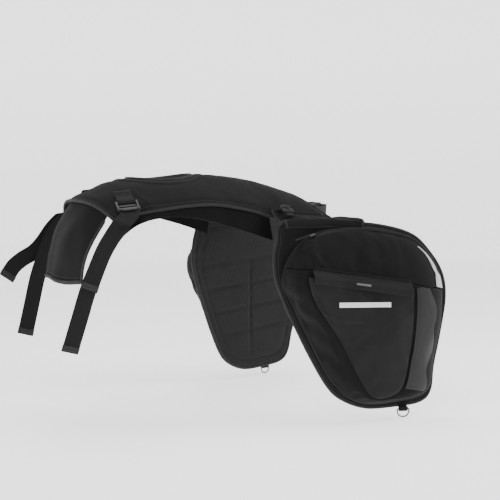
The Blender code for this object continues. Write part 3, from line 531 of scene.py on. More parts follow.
def soft_boxes(name, boxes):
    """One mesh of boxes. Each has a size, a centre, its edges' radius and perhaps a turn."""
    bm = bmesh.new()
    for size, centre, radius, *turn in boxes:
        made = bmesh.ops.create_cube(bm, size=1.0)["verts"]
        bmesh.ops.scale(bm, vec=size, verts=made)
        edges = list({e for v in made for e in v.link_edges})
        made = bmesh.ops.bevel(bm, geom=edges, offset=radius, segments=FILLET_STEPS, profile=0.5,
                               affect="EDGES")["verts"]
        if turn:
            bmesh.ops.rotate(bm, verts=made, matrix=turn[0])
        bmesh.ops.translate(bm, vec=centre, verts=made)
    return from_bmesh(name, bm)


def join(name, pieces):
    """One object from several, keeping their UV maps."""
    with bpy.context.temp_override(active_object=pieces[0], selected_editable_objects=pieces):
        bpy.ops.object.join()
    pieces[0].name = name
    return pieces[0]


# ---- Placing pieces -----------------------------------------------------------------------------
def finish_piece(obj, body, material, replaces=(), bend=None):
    """Gives the piece its material and its body; given bend, it only bakes the piece's placing into its mesh
    and gives it no body.

    material may be a list, for a piece whose faces already hold their places in it."""
    several = isinstance(material, (list, tuple))
    places = [polygon.material_index if several else 0 for polygon in obj.data.polygons]
    obj.data.materials.clear()
    for each in material if several else [material]:
        obj.data.materials.append(each)
    obj.data.polygons.foreach_set("material_index", places)
    if bend:
        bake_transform(obj)
    else:
        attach(obj, body)
    if replaces:
        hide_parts(*replaces)
    return obj


MIRROR = Matrix.Scale(-1, 4, (0, 1, 0))


def left_name(name):
    return name.replace("right", "left", 1)


def both_sides(obj, body, material, replaces=(), slot=None, fill=None, bend=None):
    """Finishes a right-hand piece, and its mirror image on the left."""
    mesh = obj.data.copy()
    mesh.transform(MIRROR)
    mesh.flip_normals()
    twin = new_object(left_name(obj.name), mesh)
    finish_piece(obj, body, material, replaces, bend)
    other = None
    if bend:
        other = (left_name(bend[0]), MIRROR @ Vector(bend[1]), MIRROR @ Vector(bend[2]))
    finish_piece(twin, left_name(body), material, [left_name(n) for n in replaces], other)
    return obj, twin


def bag_piece(obj, material, slot, nodes=(), body="right_bag_body", **more):
    """Finishes a piece drawn in the bag's own frame, and its mirror image."""
    obj.data.transform(BAG)
    return both_sides(obj, body, material, nodes, slot, **more)


# ---- Materials ----------------------------------------------------------------------------------
class Nodes:
    """A small builder for node trees."""

    def __init__(self, name):
        self.material = bpy.data.materials.new(name)
        self.material.use_nodes = True
        self.tree = self.material.node_tree
        self.shader = self.tree.nodes["Principled BSDF"]

    def add(self, kind, inputs=(), **settings):
        node = self.tree.nodes.new(kind)
        for key, value in settings.items():
            setattr(node, key, value)
        for key, value in dict(inputs).items():
            self.feed(node.inputs[key], value)
        return node

    def feed(self, socket, value):
        if isinstance(value, bpy.types.NodeSocket):
            self.tree.links.new(value, socket)
        else:
            socket.default_value = value

    def math(self, operation, a, b=0.0):
        return self.add("ShaderNodeMath", {0: a, 1: b}, operation=operation).outputs[0]

    def noise(self, vector, scale, detail=3.0, roughness=0.5):
        node = self.add("ShaderNodeTexNoise", {"Vector": vector, "Scale": scale, "Detail": detail,
                                               "Roughness": roughness})
        return node.outputs["Fac"]

    def band(self, value, low, high, start=0.0, end=1.0):
        """value's range from low to high, stretched to run from start to end."""
        return self.add("ShaderNodeMapRange", {"Value": value, "From Min": low, "From Max": high,
                                               "To Min": start, "To Max": end}).outputs[0]

    def ramp(self, value, low, high):
        return self.band(value, 0.0, 1.0, low, high)

    def colour(self, value, dark, light):
        node = self.add("ShaderNodeMix", data_type="RGBA")
        self.feed(node.inputs["Factor"], value)
        self.feed(node.inputs["A"], (*dark, 1))
        self.feed(node.inputs["B"], (*light, 1))
        return node.outputs["Result"]

    def relief(self, height, distance, strength=1.0, normal=None):
        inputs = {"Height": height, "Distance": distance, "Strength": strength}
        if normal:
            inputs["Normal"] = normal
        return self.add("ShaderNodeBump", inputs).outputs[0]

    def place(self, name):
        return self.add("ShaderNodeTexCoord").outputs[name]

    def split(self, vector):
        return self.add("ShaderNodeSeparateXYZ", {"Vector": vector}).outputs

    def cells(self, vector, scale, randomness=1.0, **settings):
        inputs = {"Vector": vector, "Scale": scale, "Randomness": randomness}
        return self.add("ShaderNodeTexVoronoi", inputs, **settings).outputs["Distance"]

    def worn(self, low, high):
        """0 on flat faces and 1 on worn ridges."""
        return self.band(self.add("ShaderNodeNewGeometry").outputs["Pointiness"], low, high)

    def clamp(self, value):
        return self.add("ShaderNodeClamp", {"Value": value}).outputs[0]

    def mixed(self, a, part, b, other):
        """a and b added, by their parts."""
        return self.math("ADD", self.math("MULTIPLY", a, part), self.math("MULTIPLY", b, other))

    def ridges(self, value):
        return self.math("ABSOLUTE", self.math("SINE", value))

    def set(self, **values):
        for key, value in values.items():
            self.feed(self.shader.inputs[key.replace("_", " ")], value)
        return self.material


def woven(name, dark, light, yarn=0.0009, roughness=0.82, sheen=0.05, relief=0.00022, coat=0.0, twill=False,
          wrinkle=0.0007, shine=0.12):
    """Woven cloth: yarns over and under, slubs, faded patches, worn ridges and a fine crease relief."""
    n = Nodes(name)
    place = n.place("Object")
    uv = n.split(n.place("UV"))
    wave = math.pi / yarn
    a = n.math("MULTIPLY", uv[0], wave)
    b = n.math("MULTIPLY", uv[1], wave * (0.5 if twill else 1.0))
    if twill:
        b = n.math("ADD", b, n.math("MULTIPLY", a, 0.5))
    over = n.math("GREATER_THAN", n.math("MULTIPLY", n.math("COSINE", a), n.math("COSINE", b)), 0.0)
    height = n.add("ShaderNodeMix", {"Factor": over, "A": n.ridges(a), "B": n.ridges(b)}).outputs["Result"]
    slub = n.noise(place, 900.0, 2.0)
    patch = n.noise(place, 14.0, 4.0, 0.6)
    crease = n.noise(place, 65.0, 5.0, 0.55)
    level = n.mixed(height, 0.45, slub, 0.25)
    level = n.math("ADD", level, n.math("MULTIPLY", n.math("SUBTRACT", patch, 0.5), 0.9))
    level = n.math("ADD", level, n.math("MULTIPLY", n.worn(0.49, 0.56), 0.35))
    fine = n.relief(height, relief, 0.55, n.relief(crease, wrinkle, 0.6))
    return n.set(Base_Color=n.colour(n.clamp(level), dark, light),
                 Roughness=n.ramp(patch, roughness - 0.07, roughness + 0.07), Sheen_Weight=sheen,
                 Sheen_Roughness=0.45, Sheen_Tint=(0.55, 0.55, 0.58, 1.0), Coat_Weight=coat,
                 Coat_Roughness=0.32, Specular_IOR_Level=shine, Normal=fine)


def ribbed(name, dark, light, rib=0.0016, pick=0.0007):
    """Webbing: ribs along its length, each crossed by fine picks."""
    n = Nodes(name)
    uv = n.split(n.place("UV"))
    a = n.ridges(n.math("MULTIPLY", uv[0], math.pi / rib))
    b = n.math("SINE", n.mixed(uv[1], 2 * math.pi / pick, a, 1.1))
    height = n.mixed(a, 0.75, b, 0.25)
    patch = n.noise(n.place("Object"), 30.0, 4.0)
    level = n.clamp(n.mixed(height, 0.5, patch, 0.5))
    return n.set(Base_Color=n.colour(level, dark, light), Roughness=n.ramp(patch, 0.58, 0.75),
                 Sheen_Weight=0.05, Sheen_Roughness=0.4, Specular_IOR_Level=0.16,
                 Normal=n.relief(height, 0.00028, 0.7))


def rubberised(name):
    """The liner's grip face: a cloth with a fine grid of rubber dots."""
    n = Nodes(name)
    place = n.place("Object")
    dot = n.band(n.cells(n.place("UV"), 420.0, 0.12), 0.32, 0.42, 1.0, 0.0)
    patch = n.noise(place, 22.0, 4.0)
    crease = n.relief(n.noise(place, 40.0, 4.0), 0.001, 0.5)
    colour = n.colour(n.mixed(dot, 0.4, patch, 0.6), (0.0018, 0.0018, 0.0019), (0.006, 0.006, 0.0063))
    return n.set(Base_Color=colour,
                 Roughness=n.ramp(dot, 0.8, 0.6), Specular_IOR_Level=0.06, Sheen_Weight=0.01,
                 Normal=n.relief(dot, 0.0003, 0.5, crease))


def moulded(name, dark, light, roughness, metallic=0.0, grain=2600.0, shine=0.5):
    """Moulded plastic or cast metal: fine grain, handling marks and paler worn edges."""
    n = Nodes(name)
    place = n.place("Object")
    marks = n.noise(place, 120.0, 5.0, 0.65)
    level = n.clamp(n.math("ADD", n.math("MULTIPLY", marks, 0.4), n.worn(0.5, 0.62)))
    return n.set(Base_Color=n.colour(level, dark, light), Metallic=metallic,
                 Roughness=n.ramp(marks, roughness - 0.08, roughness + 0.12), Specular_IOR_Level=shine,
                 Normal=n.relief(n.noise(place, grain, 2.0), 0.00008, 0.35))


def reflective(name, dark, light):
    """Reflective tape: tiny glass beads under a clear film, in a faint diamond quilt."""
    n = Nodes(name)
    uv = n.place("UV")
    beads = n.cells(uv, 2600.0)
    u, v = n.split(uv)[:2]
    slants = [n.ridges(n.math("MULTIPLY", n.math(way, u, v), 420.0)) for way in ("ADD", "SUBTRACT")]
    line = n.band(n.math("MINIMUM", *slants), 0.0, 0.14)
    patch = n.noise(n.place("Object"), 45.0, 5.0)
    level = n.mixed(line, 0.4, patch, 0.6)
    return n.set(Base_Color=n.colour(level, dark, light), Roughness=n.ramp(patch, 0.3, 0.5), Coat_Weight=0.35,
                 Coat_Roughness=0.2, Specular_IOR_Level=0.55, Normal=n.relief(beads, 0.00006, 0.4))


def spacer_mesh(name):
    """The breathable knit on the bag's back: a hexagonal net over a darker ground."""
    n = Nodes(name)
    place = n.place("Object")
    net = n.band(n.cells(place, 330.0, 0.25, feature="DISTANCE_TO_EDGE"), 0.12, 0.3, 1.0, 0.0)
    patch = n.noise(place, 18.0, 4.0)
    level = n.math("MULTIPLY", net, n.ramp(patch, 0.6, 1.0))
    return n.set(Base_Color=n.colour(level, (0.003, 0.003, 0.0032), (0.016, 0.016, 0.017)), Roughness=0.85,
                 Sheen_Weight=0.05, Specular_IOR_Level=0.12, Normal=n.relief(net, 0.0006, 0.7))


def plain_stage(name, colour, glow):
    """A pale paper sweep, lit from behind as a light table is."""
    n = Nodes(name)
    patch = n.noise(n.place("Object"), 3.0, 2.0)
    light = tuple(c * 1.01 for c in colour)
    return n.set(Base_Color=n.colour(patch, colour, light), Roughness=0.9, Specular_IOR_Level=0.1,
                 Emission_Color=(1.0, 1.0, 1.0, 1.0), Emission_Strength=glow)


CORDURA = woven("cordura", (0.0028, 0.0028, 0.0030), (0.0100, 0.0100, 0.0107))
# A darker copy of the cordura, for the lid and the shell. On the rear flap its darkness is painted shade: it
# stands in for the shadow under the saddle.
LID_CLOTH = woven("lid_cordura", (0.0021, 0.0021, 0.0022), (0.0074, 0.0074, 0.0079))
POCKET_CLOTH = woven("pocket_cordura", (0.0054, 0.0054, 0.0057), (0.0172, 0.0172, 0.0182))
SMOOTH_CLOTH = woven("coated_cloth", (0.0058, 0.0058, 0.0062), (0.0176, 0.0176, 0.0187), yarn=0.0006,
                     roughness=0.40, sheen=0.02, relief=0.0001, coat=0.10, wrinkle=0.0012, shine=0.16)
# The binding tape is paler than the cloth. This is partly the tape's own tone and partly painted highlight,
# standing in for the bright line that the light draws along the hems.
BINDING = ribbed("binding_tape", (0.0075, 0.0075, 0.0078), (0.026, 0.026, 0.027), rib=0.0011)
WEBBING = ribbed("webbing", (0.0013, 0.0013, 0.0014), (0.0060, 0.0060, 0.0063))
ZIP_TAPE = woven("zip_tape", (0.004, 0.004, 0.0042), (0.013, 0.013, 0.0135), yarn=0.0006, twill=True,
                 roughness=0.7)
LINER_CLOTH = rubberised("grip_liner")
MESH_CLOTH = spacer_mesh("spacer_mesh")
THREAD = moulded("thread", (0.012, 0.012, 0.0125), (0.045, 0.045, 0.047), 0.6, grain=5000.0, shine=0.2)
DARK_THREAD = moulded("dark_thread", (0.005, 0.005, 0.0052), (0.018, 0.018, 0.019), 0.65, grain=5000.0,
                      shine=0.1)
PLASTIC = moulded("black_acetal", (0.005, 0.005, 0.0053), (0.026, 0.026, 0.027), 0.40, shine=0.35)
ZIP_TEETH = moulded("zip_teeth", (0.004, 0.004, 0.0042), (0.014, 0.014, 0.0145), 0.5, shine=0.12)
GUNMETAL = moulded("blackened_metal", (0.020, 0.020, 0.021), (0.15, 0.15, 0.155), 0.34, metallic=1.0,
                   grain=900.0)
TRIM_RUBBER = moulded("soft_rubber", (0.006, 0.006, 0.0063), (0.020, 0.020, 0.021), 0.55, shine=0.25)
REFLECTOR = reflective("reflective_tape", (0.25, 0.25, 0.255), (0.40, 0.40, 0.41))
PALE_TAPE = reflective("pale_tape", (0.45, 0.45, 0.46), (0.66, 0.66, 0.67))
LABEL = woven("label", (0.06, 0.06, 0.063), (0.13, 0.13, 0.135), yarn=0.0005, twill=True, roughness=0.7)
BOARD = moulded("back_board", (0.07, 0.07, 0.073), (0.13, 0.13, 0.135), 0.5)
STAGE = plain_stage("pale_stage", (0.80, 0.80, 0.80), 1.35)


# ---- Saddle -------------------------------------------------------------------------------------
def saddle_height(x, y):
    """z of the saddle panel's plain upper surface."""
    crown = profile_at(CROWN_PROFILE, x)
    drop = crown - profile_at(HEM_PROFILE, x)
    return crown - drop * (abs(y) / HALF_WIDTH) ** SECTION_POWER


def saddle_normal(x, y):
    step = 0.002
    slope_x = (saddle_height(x + step, y) - saddle_height(x - step, y)) / (2 * step)
    slope_y = (saddle_height(x, y + step) - saddle_height(x, y - step)) / (2 * step)
    return Vector((-slope_x, -slope_y, 1)).normalized()


def saddle_point(x, y, below=0.0):
    """A point of the plain surface, or below it along its normal."""
    return Vector((x, y, saddle_height(x, y))) - saddle_normal(x, y) * below


def edge_x(y, s):
    """x of the panel's point at |y| that is s of the way from its rear edge to its front one."""
    share = (y / HALF_WIDTH) ** 2
    return (REAR_EDGE_X + REAR_EDGE_SWEEP * share) * (1 - s) + (FRONT_EDGE_X + FRONT_EDGE_SWEEP * share) * s


LOCK_SPOT = Vector((-0.262, 0.128, 0))


def saddle_relief(x, y, hem):
    """How far the padded top stands off the plain surface at (x, y), hem metres inside the edge."""
    pad = 0.0026 * smooth_step(hem / 0.022)
    waves = noise.noise(Vector((x * 11, y * 13, 1.7))) * 0.0030
    waves += noise.noise(Vector((x * 34, y * 30, 5.1))) * 0.0009
    rise = pad + waves * smooth_step(hem / 0.03)
    crease = Vector((x + 0.228, abs(y) - 0.118, 0))
    rise += 0.0016 * bump(crease.x - 0.5 * crease.y, 0.005) * bump(crease.y, 0.022)
    rise -= 0.0016 * bump(hem - 0.009, 0.0032)
    away = Vector((x, abs(y), 0)) - LOCK_SPOT
    angle = math.atan2(away.y, away.x)
    pull = math.sin(angle * 5.0 + 0.6) * bump(away.length - 0.035, 0.030)
    rise += 0.0014 * pull * (1 if away.x > -0.01 else 0.35)
    cap = math.hypot((x - CAP_CENTRE_X) / CAP_RADII[0], y / CAP_RADII[1])
    rise += 0.0016 * bump(cap - 1.22, 0.10) - 0.0012 * bump(cap - 1.36, 0.035)
    return rise


def saddle_skin(x, y):
    """A point of the padded top's face."""
    s = (x - edge_x(y, 0)) / (edge_x(y, 1) - edge_x(y, 0))
    length = edge_x(y, 1) - edge_x(y, 0)
    hem = min(s * length, (1 - s) * length, (HALF_WIDTH - abs(y)) * 1.15)
    return saddle_point(x, y, -saddle_relief(x, y, max(hem, 0)))


def cap_point(angle, scale=1.0, grow=0.0):
    """x and y of a point on the filler opening's outline, scaled, then grown by grow metres."""
    return (CAP_CENTRE_X + (CAP_RADII[0] * scale + grow) * math.cos(angle),
            (CAP_RADII[1] * scale + grow) * math.sin(angle))


def cut_opening(obj, grow, steps):
    """Cuts the filler opening through the piece, grow metres past its outline."""
    bm = bmesh.new()
    bmesh.ops.create_cone(bm, cap_ends=True, segments=steps, radius1=1, radius2=1, depth=0.12)
    bmesh.ops.scale(bm, vec=(CAP_RADII[0] + grow, CAP_RADII[1] + grow, 1), verts=bm.verts)
    bmesh.ops.translate(bm, vec=(CAP_CENTRE_X, 0, 0), verts=bm.verts)
    cut_away(obj, from_bmesh("opening_cutter", bm))


def make_saddle():
    """The padded top, with the filler opening cut through it."""
    columns, lines = 128, 85
    rows = [[saddle_skin(edge_x(y, i / columns), y) for y in spread(-HALF_WIDTH, HALF_WIDTH, lines)]
            for i in range(columns + 1)]
    skin = face_away(grid_object("saddle_padded_top", rows), (0, 0, -1))
    thicken(skin, PAD_THICKNESS)
    cut_opening(skin, -0.0005, 96)
    finish_piece(skin, "saddle", CORDURA, ["saddle_panel"])
    return skin


def saddle_edge(steps=70, inset=0.0):
    """The hem's path right round the panel, inset metres inside its edge."""
    half = HALF_WIDTH - inset
    low, high = edge_x(half, 0) + inset, edge_x(half, 1) - inset
    across, along = spread(-half, half, steps + 1)[:-1], spread(low, high, steps * 2 + 1)
    path = [(edge_x(y, 0) + inset, y) for y in across]
    path += [(x, half) for x in along[:-1]]
    path += [(edge_x(y, 1) - inset, -y) for y in across]
    return path + [(x, -half) for x in along[:0:-1]]


def make_saddle_trim(skin):
    """The saddle's bound hem, its stitching and the filler opening's rim."""
    down = Vector((0, 0, -1))
    path = saddle_edge()
    points = [saddle_point(x, y, PANEL_THICKNESS * 0.45) for x, y in path]
    across = square_to(points, [saddle_normal(x, y) for x, y in path], closed=True)
    tape = sweep("saddle_hem_binding", points, across, oval(0.0030, 0.0036), closed=True)
    finish_piece(tape, "saddle", BINDING)

    tree = tree_of(skin)
    runs = [saddle_edge(inset=0.0085)]
    runs += [[cap_point(a, scale) for a in round_angles(90)] for scale in (1.17, 1.235)]
    threads = [seam(f"saddle_stitching_{k}", tree, [Vector((x, y, 0)) for x, y in run], down, closed=True)
               for k, run in enumerate(runs)]
    finish_piece(join("saddle_stitching", threads), "saddle", THREAD)

    rim_half = 0.0036
    path = [cap_point(a, grow=-rim_half) for a in round_angles(96)]
    points = [saddle_point(x, y, PANEL_THICKNESS * 0.2 - 0.0012) for x, y in path]
    across = square_to(points, [saddle_normal(x, y) for x, y in path], closed=True)
    rim = sweep("filler_opening_rim", points, across, oval(rim_half, 0.0052, 12), closed=True)
    finish_piece(rim, "saddle", TRIM_RUBBER, ["filler_opening_ring"])


def liner_skirt(x, side):
    """The liner's points below the saddle's hem on one side, from the hem down."""
    top = saddle_point(x, side * LINER_HALF, LINER_DEPTH).z
    drop = profile_at(LINER_EDGE_PROFILE, x) - top
    flare = LINER_EDGE_Y - LINER_HALF
    wave = noise.noise(Vector((x * 26, side * 3.1, 0.4))) * 0.0045
    return [Vector((x, side * (LINER_HALF + flare * t**0.8 + wave * t), top + drop * t))
            for t in spread(0, 1, 17)[1:]]


def make_liner():
    """The grip liner under the saddle, which hangs past the hem on both sides."""
    rows = []
    for x in spread(*LINER_X, 91):
        middle = [saddle_point(x, y, LINER_DEPTH) for y in spread(-LINER_HALF, LINER_HALF, 49)]
        rows.append([*reversed(liner_skirt(x, -1)), *middle, *liner_skirt(x, 1)])
    liner = face_away(grid_object("grip_liner", rows), (0, 0, -1))
    thicken(liner, BAG_CLOTH, levels=0)
    cut_opening(liner, 0.004, 64)
    finish_piece(liner, "saddle", LINER_CLOTH, ["antislip_liner"])


def flap_point(s, t):
    """s runs down the rear flap, and t from -1 at its right edge to 1 at its left one."""
    y = t * FLAP_TOP_HALF
    top = saddle_point(max(FLAP_TOP_X, edge_x(y, 0) + 0.006), y, PANEL_THICKNESS + 0.001)
    bottom = Vector((FLAP_BOTTOM.x + 0.020 * t * t, t * FLAP_BOTTOM.y, FLAP_BOTTOM.z))
    point = top.lerp(bottom, s)
    fold = 0.5 + 0.5 * math.sin(t * 3.4 + 1.0 * math.sin(s * 3.0))
    point.x -= 0.012 * math.sin(math.pi * s) + 0.007 * fold * s * (1 - 0.4 * s)
    point.x += 0.004 * noise.noise(Vector((s * 2.5, t * 2.2, 2.2)))
    point.z += 0.003 * math.sin(t * 4.0) * s
    return point


def make_rear_flap():
    """The flap behind the saddle, with its bound edge."""
    down, over = spread(0, 1, 31), spread(-1, 1, 41)
    rows = [[flap_point(s, t) for t in over] for s in down]
    flap = face_away(grid_object("rear_flap_cloth", rows), (0, 0, -0.1))
    thicken(flap, PANEL_CLOTH)
    # The rear flap takes the darker lid cloth as painted shade, standing in for the shadow under the saddle.
    finish_piece(flap, "saddle", LID_CLOTH, ["rear_flap"])
    edge = [*[flap_point(s, -1) for s in down[3:-1]], *[flap_point(1, t) for t in spread(-1, 1, 61)],
            *[flap_point(s, 1) for s in down[-2:2:-1]]]
    across = square_to(edge, [Vector((-1, 0, -0.25)).normalized()] * len(edge))
    tape = sweep("rear_flap_binding", edge, across, oval(0.0045, 0.0026))
    finish_piece(tape, "saddle", BINDING)
    line = [flap_point(0.94, t) for t in spread(-0.94, 0.94, 61)]
    thread = seam("rear_flap_stitching", tree_of(flap), line, Vector((1, 0, 0)))
    finish_piece(thread, "saddle", THREAD)


# ---- Ladder locks, straps and belt --------------------------------------------------------------
def lock_matrix(centre, across, normal):
    """The frame of a lock: x across its webbing, y along it and z off the surface."""
    z = normal.normalized()
    x = (across - z * across.dot(z)).normalized()
    matrix = Matrix((x, z.cross(x), z)).transposed().to_4x4()
    matrix.translation = centre
    return matrix


def ladder_lock(name, width, length=LOCK_LENGTH):
    """A moulded ladder lock: rails, a fixed bar, a toothed bar and a flared thumb tab."""
    outer = width / 2 + 0.0022
    bar = length / 2 - 0.0020
    tilt = Matrix.Rotation(math.radians(-14), 3, "X")
    boxes = [((width + 0.005, 0.0042, 0.0046), (0, bar, 0), 0.0016),
             ((width + 0.005, 0.0044, 0.0050), (0, 0.0002, -0.0002), 0.0013),
             ((width + 0.005, 0.0040, 0.0044), (0, -bar, 0), 0.0015),
             ((width + 0.006, 0.0050, 0.0030), (0, -bar, 0.0062), 0.0012),
             ((width * 0.80, 0.0060, 0.0022), (0, -bar - 0.0036, 0.0070), 0.0009, tilt)]
    for side in (-1, 1):
        boxes.append(((0.0050, length + 0.001, 0.0066), (side * outer, 0, 0.0008), 0.0016))
        boxes.append(((0.0040, 0.0050, 0.0070), (side * (outer + 0.0004), -bar, 0.0040), 0.0012))
    for k in range(-3, 4):
        tab_rib = (k * width * 0.10, -bar - 0.0036, 0.0083)
        boxes.append(((width * 0.10, 0.0016, 0.0012), (k * width * 0.125, 0.0024, 0.0020), 0.0004))
        boxes.append(((width * 0.07, 0.0040, 0.0008), tab_rib, 0.0003, tilt))
    return soft_boxes(name, boxes)


def box_stitch(name, matrix, width, low, high, lift):
    """A box with a cross sewn through webbing, in the lock's frame."""
    a = width / 2 - 0.004
    corners = [(-a, low), (a, low), (a, high), (-a, high), (-a, low), (a, high)]
    other = [(a, low), (-a, high)]
    up = (matrix.to_3x3() @ Vector((0, 0, 1))).normalized()
    runs = []
    for k, line in enumerate((corners, other)):
        path = resample([matrix @ Vector((x, y, lift)) for x, y in line], FINE_STEP)
        runs.append(stitches(f"{name}_{k}", path, [up] * len(path), pitch=0.0036, length=0.0026))
    return join(name, runs)


def strap_across(points, lock_across):
    """The webbing's width direction along its route, turned from the lock's own over its first points."""
    flank = Vector((0, 1, 0))
    ends = [points[0], *points, points[-1]]
    found = []
    for k in range(len(points)):
        across = (ends[k + 2] - ends[k]).cross(flank).normalized()
        if across.dot(lock_across) < 0:
            across = -across
        found.append(lock_across.lerp(across, min(1.0, (k + 1) / STRAP_TURN_STEPS)))
    return found


def make_rear_strap(prefix, side, tail):
    """A rear ladder lock, the loop that holds it, and the strap through it with its loose tail."""
    x, y = -0.266, 0.134
    centre = saddle_point(x, side * y) + saddle_normal(x, side * y) * 0.0052
    matrix = lock_matrix(centre, Vector((-side * 0.985, 0, side * 0.10)), saddle_normal(x, side * y))
    turn = matrix.to_3x3()
    across = turn @ Vector((1, 0, 0))
    body = f"{prefix}_rear_strap_body"

    lock = ladder_lock(f"{prefix}_rear_lock_moulding", WIDE_WEBBING + 0.002)
    lock.data.transform(matrix)
    finish_piece(lock, body, PLASTIC, [f"{prefix}_rear_ladder_lock"])

    gap = 0.0034
    rail = LOCK_LENGTH / 2 - 0.004
    loop = [(0.052, -gap + 0.0006), (0.040, -gap), (rail + 0.005, -gap), (rail + 0.0005, -gap),
            (rail - 0.0028, -gap * 0.6), (rail - 0.0034, 0), (rail - 0.0028, gap * 0.6), (rail + 0.0005, gap),
            (rail + 0.006, gap), (rail + 0.014, gap * 0.35), (0.036, -gap + 0.0022), (0.052, -gap + 0.0024)]
    points = open_curve([matrix @ Vector((0, a, b)) for a, b in loop], 4)
    band = sweep(f"{prefix}_rear_loop_webbing", points, [across] * len(points),
                 flat_section(WIDE_WEBBING, WEBBING_THICKNESS))
    finish_piece(band, "saddle", WEBBING, [f"{prefix}_rear_loop"])
    sewn = box_stitch(f"{prefix}_rear_loop_stitching", matrix, WIDE_WEBBING, 0.030, 0.049, -gap + 0.0040)
    finish_piece(sewn, "saddle", THREAD)

    low = -LOCK_LENGTH / 2
    wrap = [(low - 0.010, -gap), (low - 0.001, -gap), (low + 0.005, -gap + 0.0002),
            (low + 0.0070, -gap * 0.4), (low + 0.0070, gap * 0.4), (low + 0.005, gap - 0.0002),
            (low - 0.001, gap + 0.0006), (low - 0.010, gap * 1.1)]
    load = open_curve([Vector((p[0], side * p[1], p[2])) for p in STRAP_ROUTE], 7)
    free = open_curve([Vector((p[0], side * p[1], p[2])) for p in tail], 7)
    middle = open_curve([load[0], *[matrix @ Vector((0, a, b)) for a, b in wrap], free[0]], 5)[1:-1]
    points = [*reversed(load), *middle, *free]
    load_across, free_across = strap_across(load, across), strap_across(free, across)
    widths = [*reversed(load_across), *[across] * len(middle), *free_across]
    webbing = flat_section(WIDE_WEBBING, WEBBING_THICKNESS)
    strap = sweep(f"{prefix}_rear_strap_webbing", points, widths, webbing)
    finish_piece(strap, body, WEBBING, [f"{prefix}_rear_strap"])
    for name, line, ways in (("strap", load, load_across), ("tail", free, free_across)):
        end = line[-1]
        run = (line[-1] - line[-4]).normalized()
        side_way = ways[-1].normalized()
        out = run.cross(side_way).normalized()
        path = resample([end - run * 0.014, end - run * 0.001], FINE_STEP)
        cover = sweep(f"{prefix}_{name}_end", path, [side_way] * len(path),
                      flat_section(WIDE_WEBBING + 0.0012, WEBBING_THICKNESS + 0.0020))
        finish_piece(cover, body, BINDING)
        rows = []
        for k, back in enumerate((0.004, 0.010)):
            row = [end - run * back + side_way * (WIDE_WEBBING / 2 - 0.003) * t + out * 0.0019
                   for t in (-1, -0.5, 0, 0.5, 1)]
            rows.append(stitches(f"{prefix}_{name}_end_{k}", row, [out] * 5, pitch=0.0034, length=0.0026))
        finish_piece(join(f"{prefix}_{name}_end_stitching", rows), body, THREAD)


def make_belt():
    """The belt under the saddle's front edge, with its side-release clip."""
    tips = {-1: Vector((0.256, -0.0345, -0.066)), 1: Vector((0.256, 0.0375, -0.066))}
    ways = ((0.5, 1.0, 0.45), (0.35, 0.6, 0.8), (0.1, 0.2, 1), (0, 0, 1), (0, 0, 1))
    for side, prefix in ((-1, "right"), (1, "left")):
        points = open_curve([*[Vector((x, side * y, z)) for x, y, z in BELT_ROUTE[:-1]], tips[side]], 8)
        across = open_curve([(x, side * y, z) for x, y, z in ways], 8)
        band = sweep(f"{prefix}_belt_webbing", points, across, flat_section(0.0245, WEBBING_THICKNESS))
        finish_piece(band, "saddle", WEBBING, [f"{prefix}_front_webbing"])

    def at(y):
        return BELT_ROUTE[-1][0], y, BELT_ROUTE[-1][2]

    socket = soft_boxes("clip_socket_moulding", [
        ((0.0104, 0.038, 0.031), at(-0.0145), 0.0036), ((0.0112, 0.006, 0.033), at(0.0022), 0.0022),
        *[((0.0114, 0.0016, 0.022), at(-0.0150 - 0.004 * k), 0.0006) for k in range(3)]])
    finish_piece(socket, "saddle", PLASTIC, ["front_clip_socket"])
    plug = soft_boxes("clip_plug_moulding", [
        ((0.0088, 0.028, 0.031), at(0.0216), 0.0032), ((0.0052, 0.018, 0.0240), at(0.0), 0.0018),
        *[((0.0100, 0.0016, 0.022), at(0.0150 + 0.004 * k), 0.0006) for k in range(3)]])
    cut_away(plug, soft_boxes("plug_channel", [((0.0038, 0.030, 0.0272), at(0.0325), 0.0004)]))
    finish_piece(plug, "clip_plug_body", PLASTIC, ["front_clip_plug"])


# ---- Side bag shape -----------------------------------------------------------------------------
BAG = Matrix.Translation(BAG_ORIGIN) @ Matrix.Rotation(-BAG_YAW, 4, "Z") @ Matrix.Rotation(-BAG_TILT, 4, "X")
INWARD = Vector((0, 1, 0))
SPLIT_UP = Vector((math.sin(SPLIT_SLOPE), 0, math.cos(SPLIT_SLOPE)))
BODY_MIDDLE = Vector((0.01, 0, -0.02))


def local_point(u, v, w):
    """A point in the bag's own frame."""
    return Vector((u, -v, w))


def front_depth(w):
    """v of the front's edge at height w."""
    t = min(max((w + 0.215) / 0.19, 0), 1)
    return FRONT_V_BOTTOM + (FRONT_V_TOP - FRONT_V_BOTTOM) * (3 * t**2 - 2 * t**3)


def wall_point(row, s):
    """A point of the bag's wall on an outline row, from s = 0 at the back to 1 at the front's edge."""
    base_u, base_w, edge_u, edge_w = row
    inward = s**BULGE_POWER
    outward = math.sin(s * math.pi / 2) ** 0.9
    u = base_u + (edge_u - base_u) * inward
    w = base_w + (edge_w - base_w) * inward
    return local_point(u, BODY_BASE_V + (front_depth(edge_w) - BODY_BASE_V) * outward, w)


def front_point(row, size, lift=0.0):
    """A point of the bag's front on an outline row, drawn in to size from its edge."""
    u = FRONT_CENTRE[0] + (row[2] - FRONT_CENTRE[0]) * size
    w = FRONT_CENTRE[1] + (row[3] - FRONT_CENTRE[1]) * size
    return local_point(u, front_depth(w) + FRONT_CROWN * (1 - size**2) + lift, w)


def front_at(u, w, lift=0.0):
    """A point on the bag's front at (u, w)."""
    size = min(1.0, math.hypot((u - FRONT_CENTRE[0]) / 0.115, (w - FRONT_CENTRE[1]) / 0.145))
    return local_point(u, front_depth(w) + FRONT_CROWN * (1 - size**2) + lift, w)


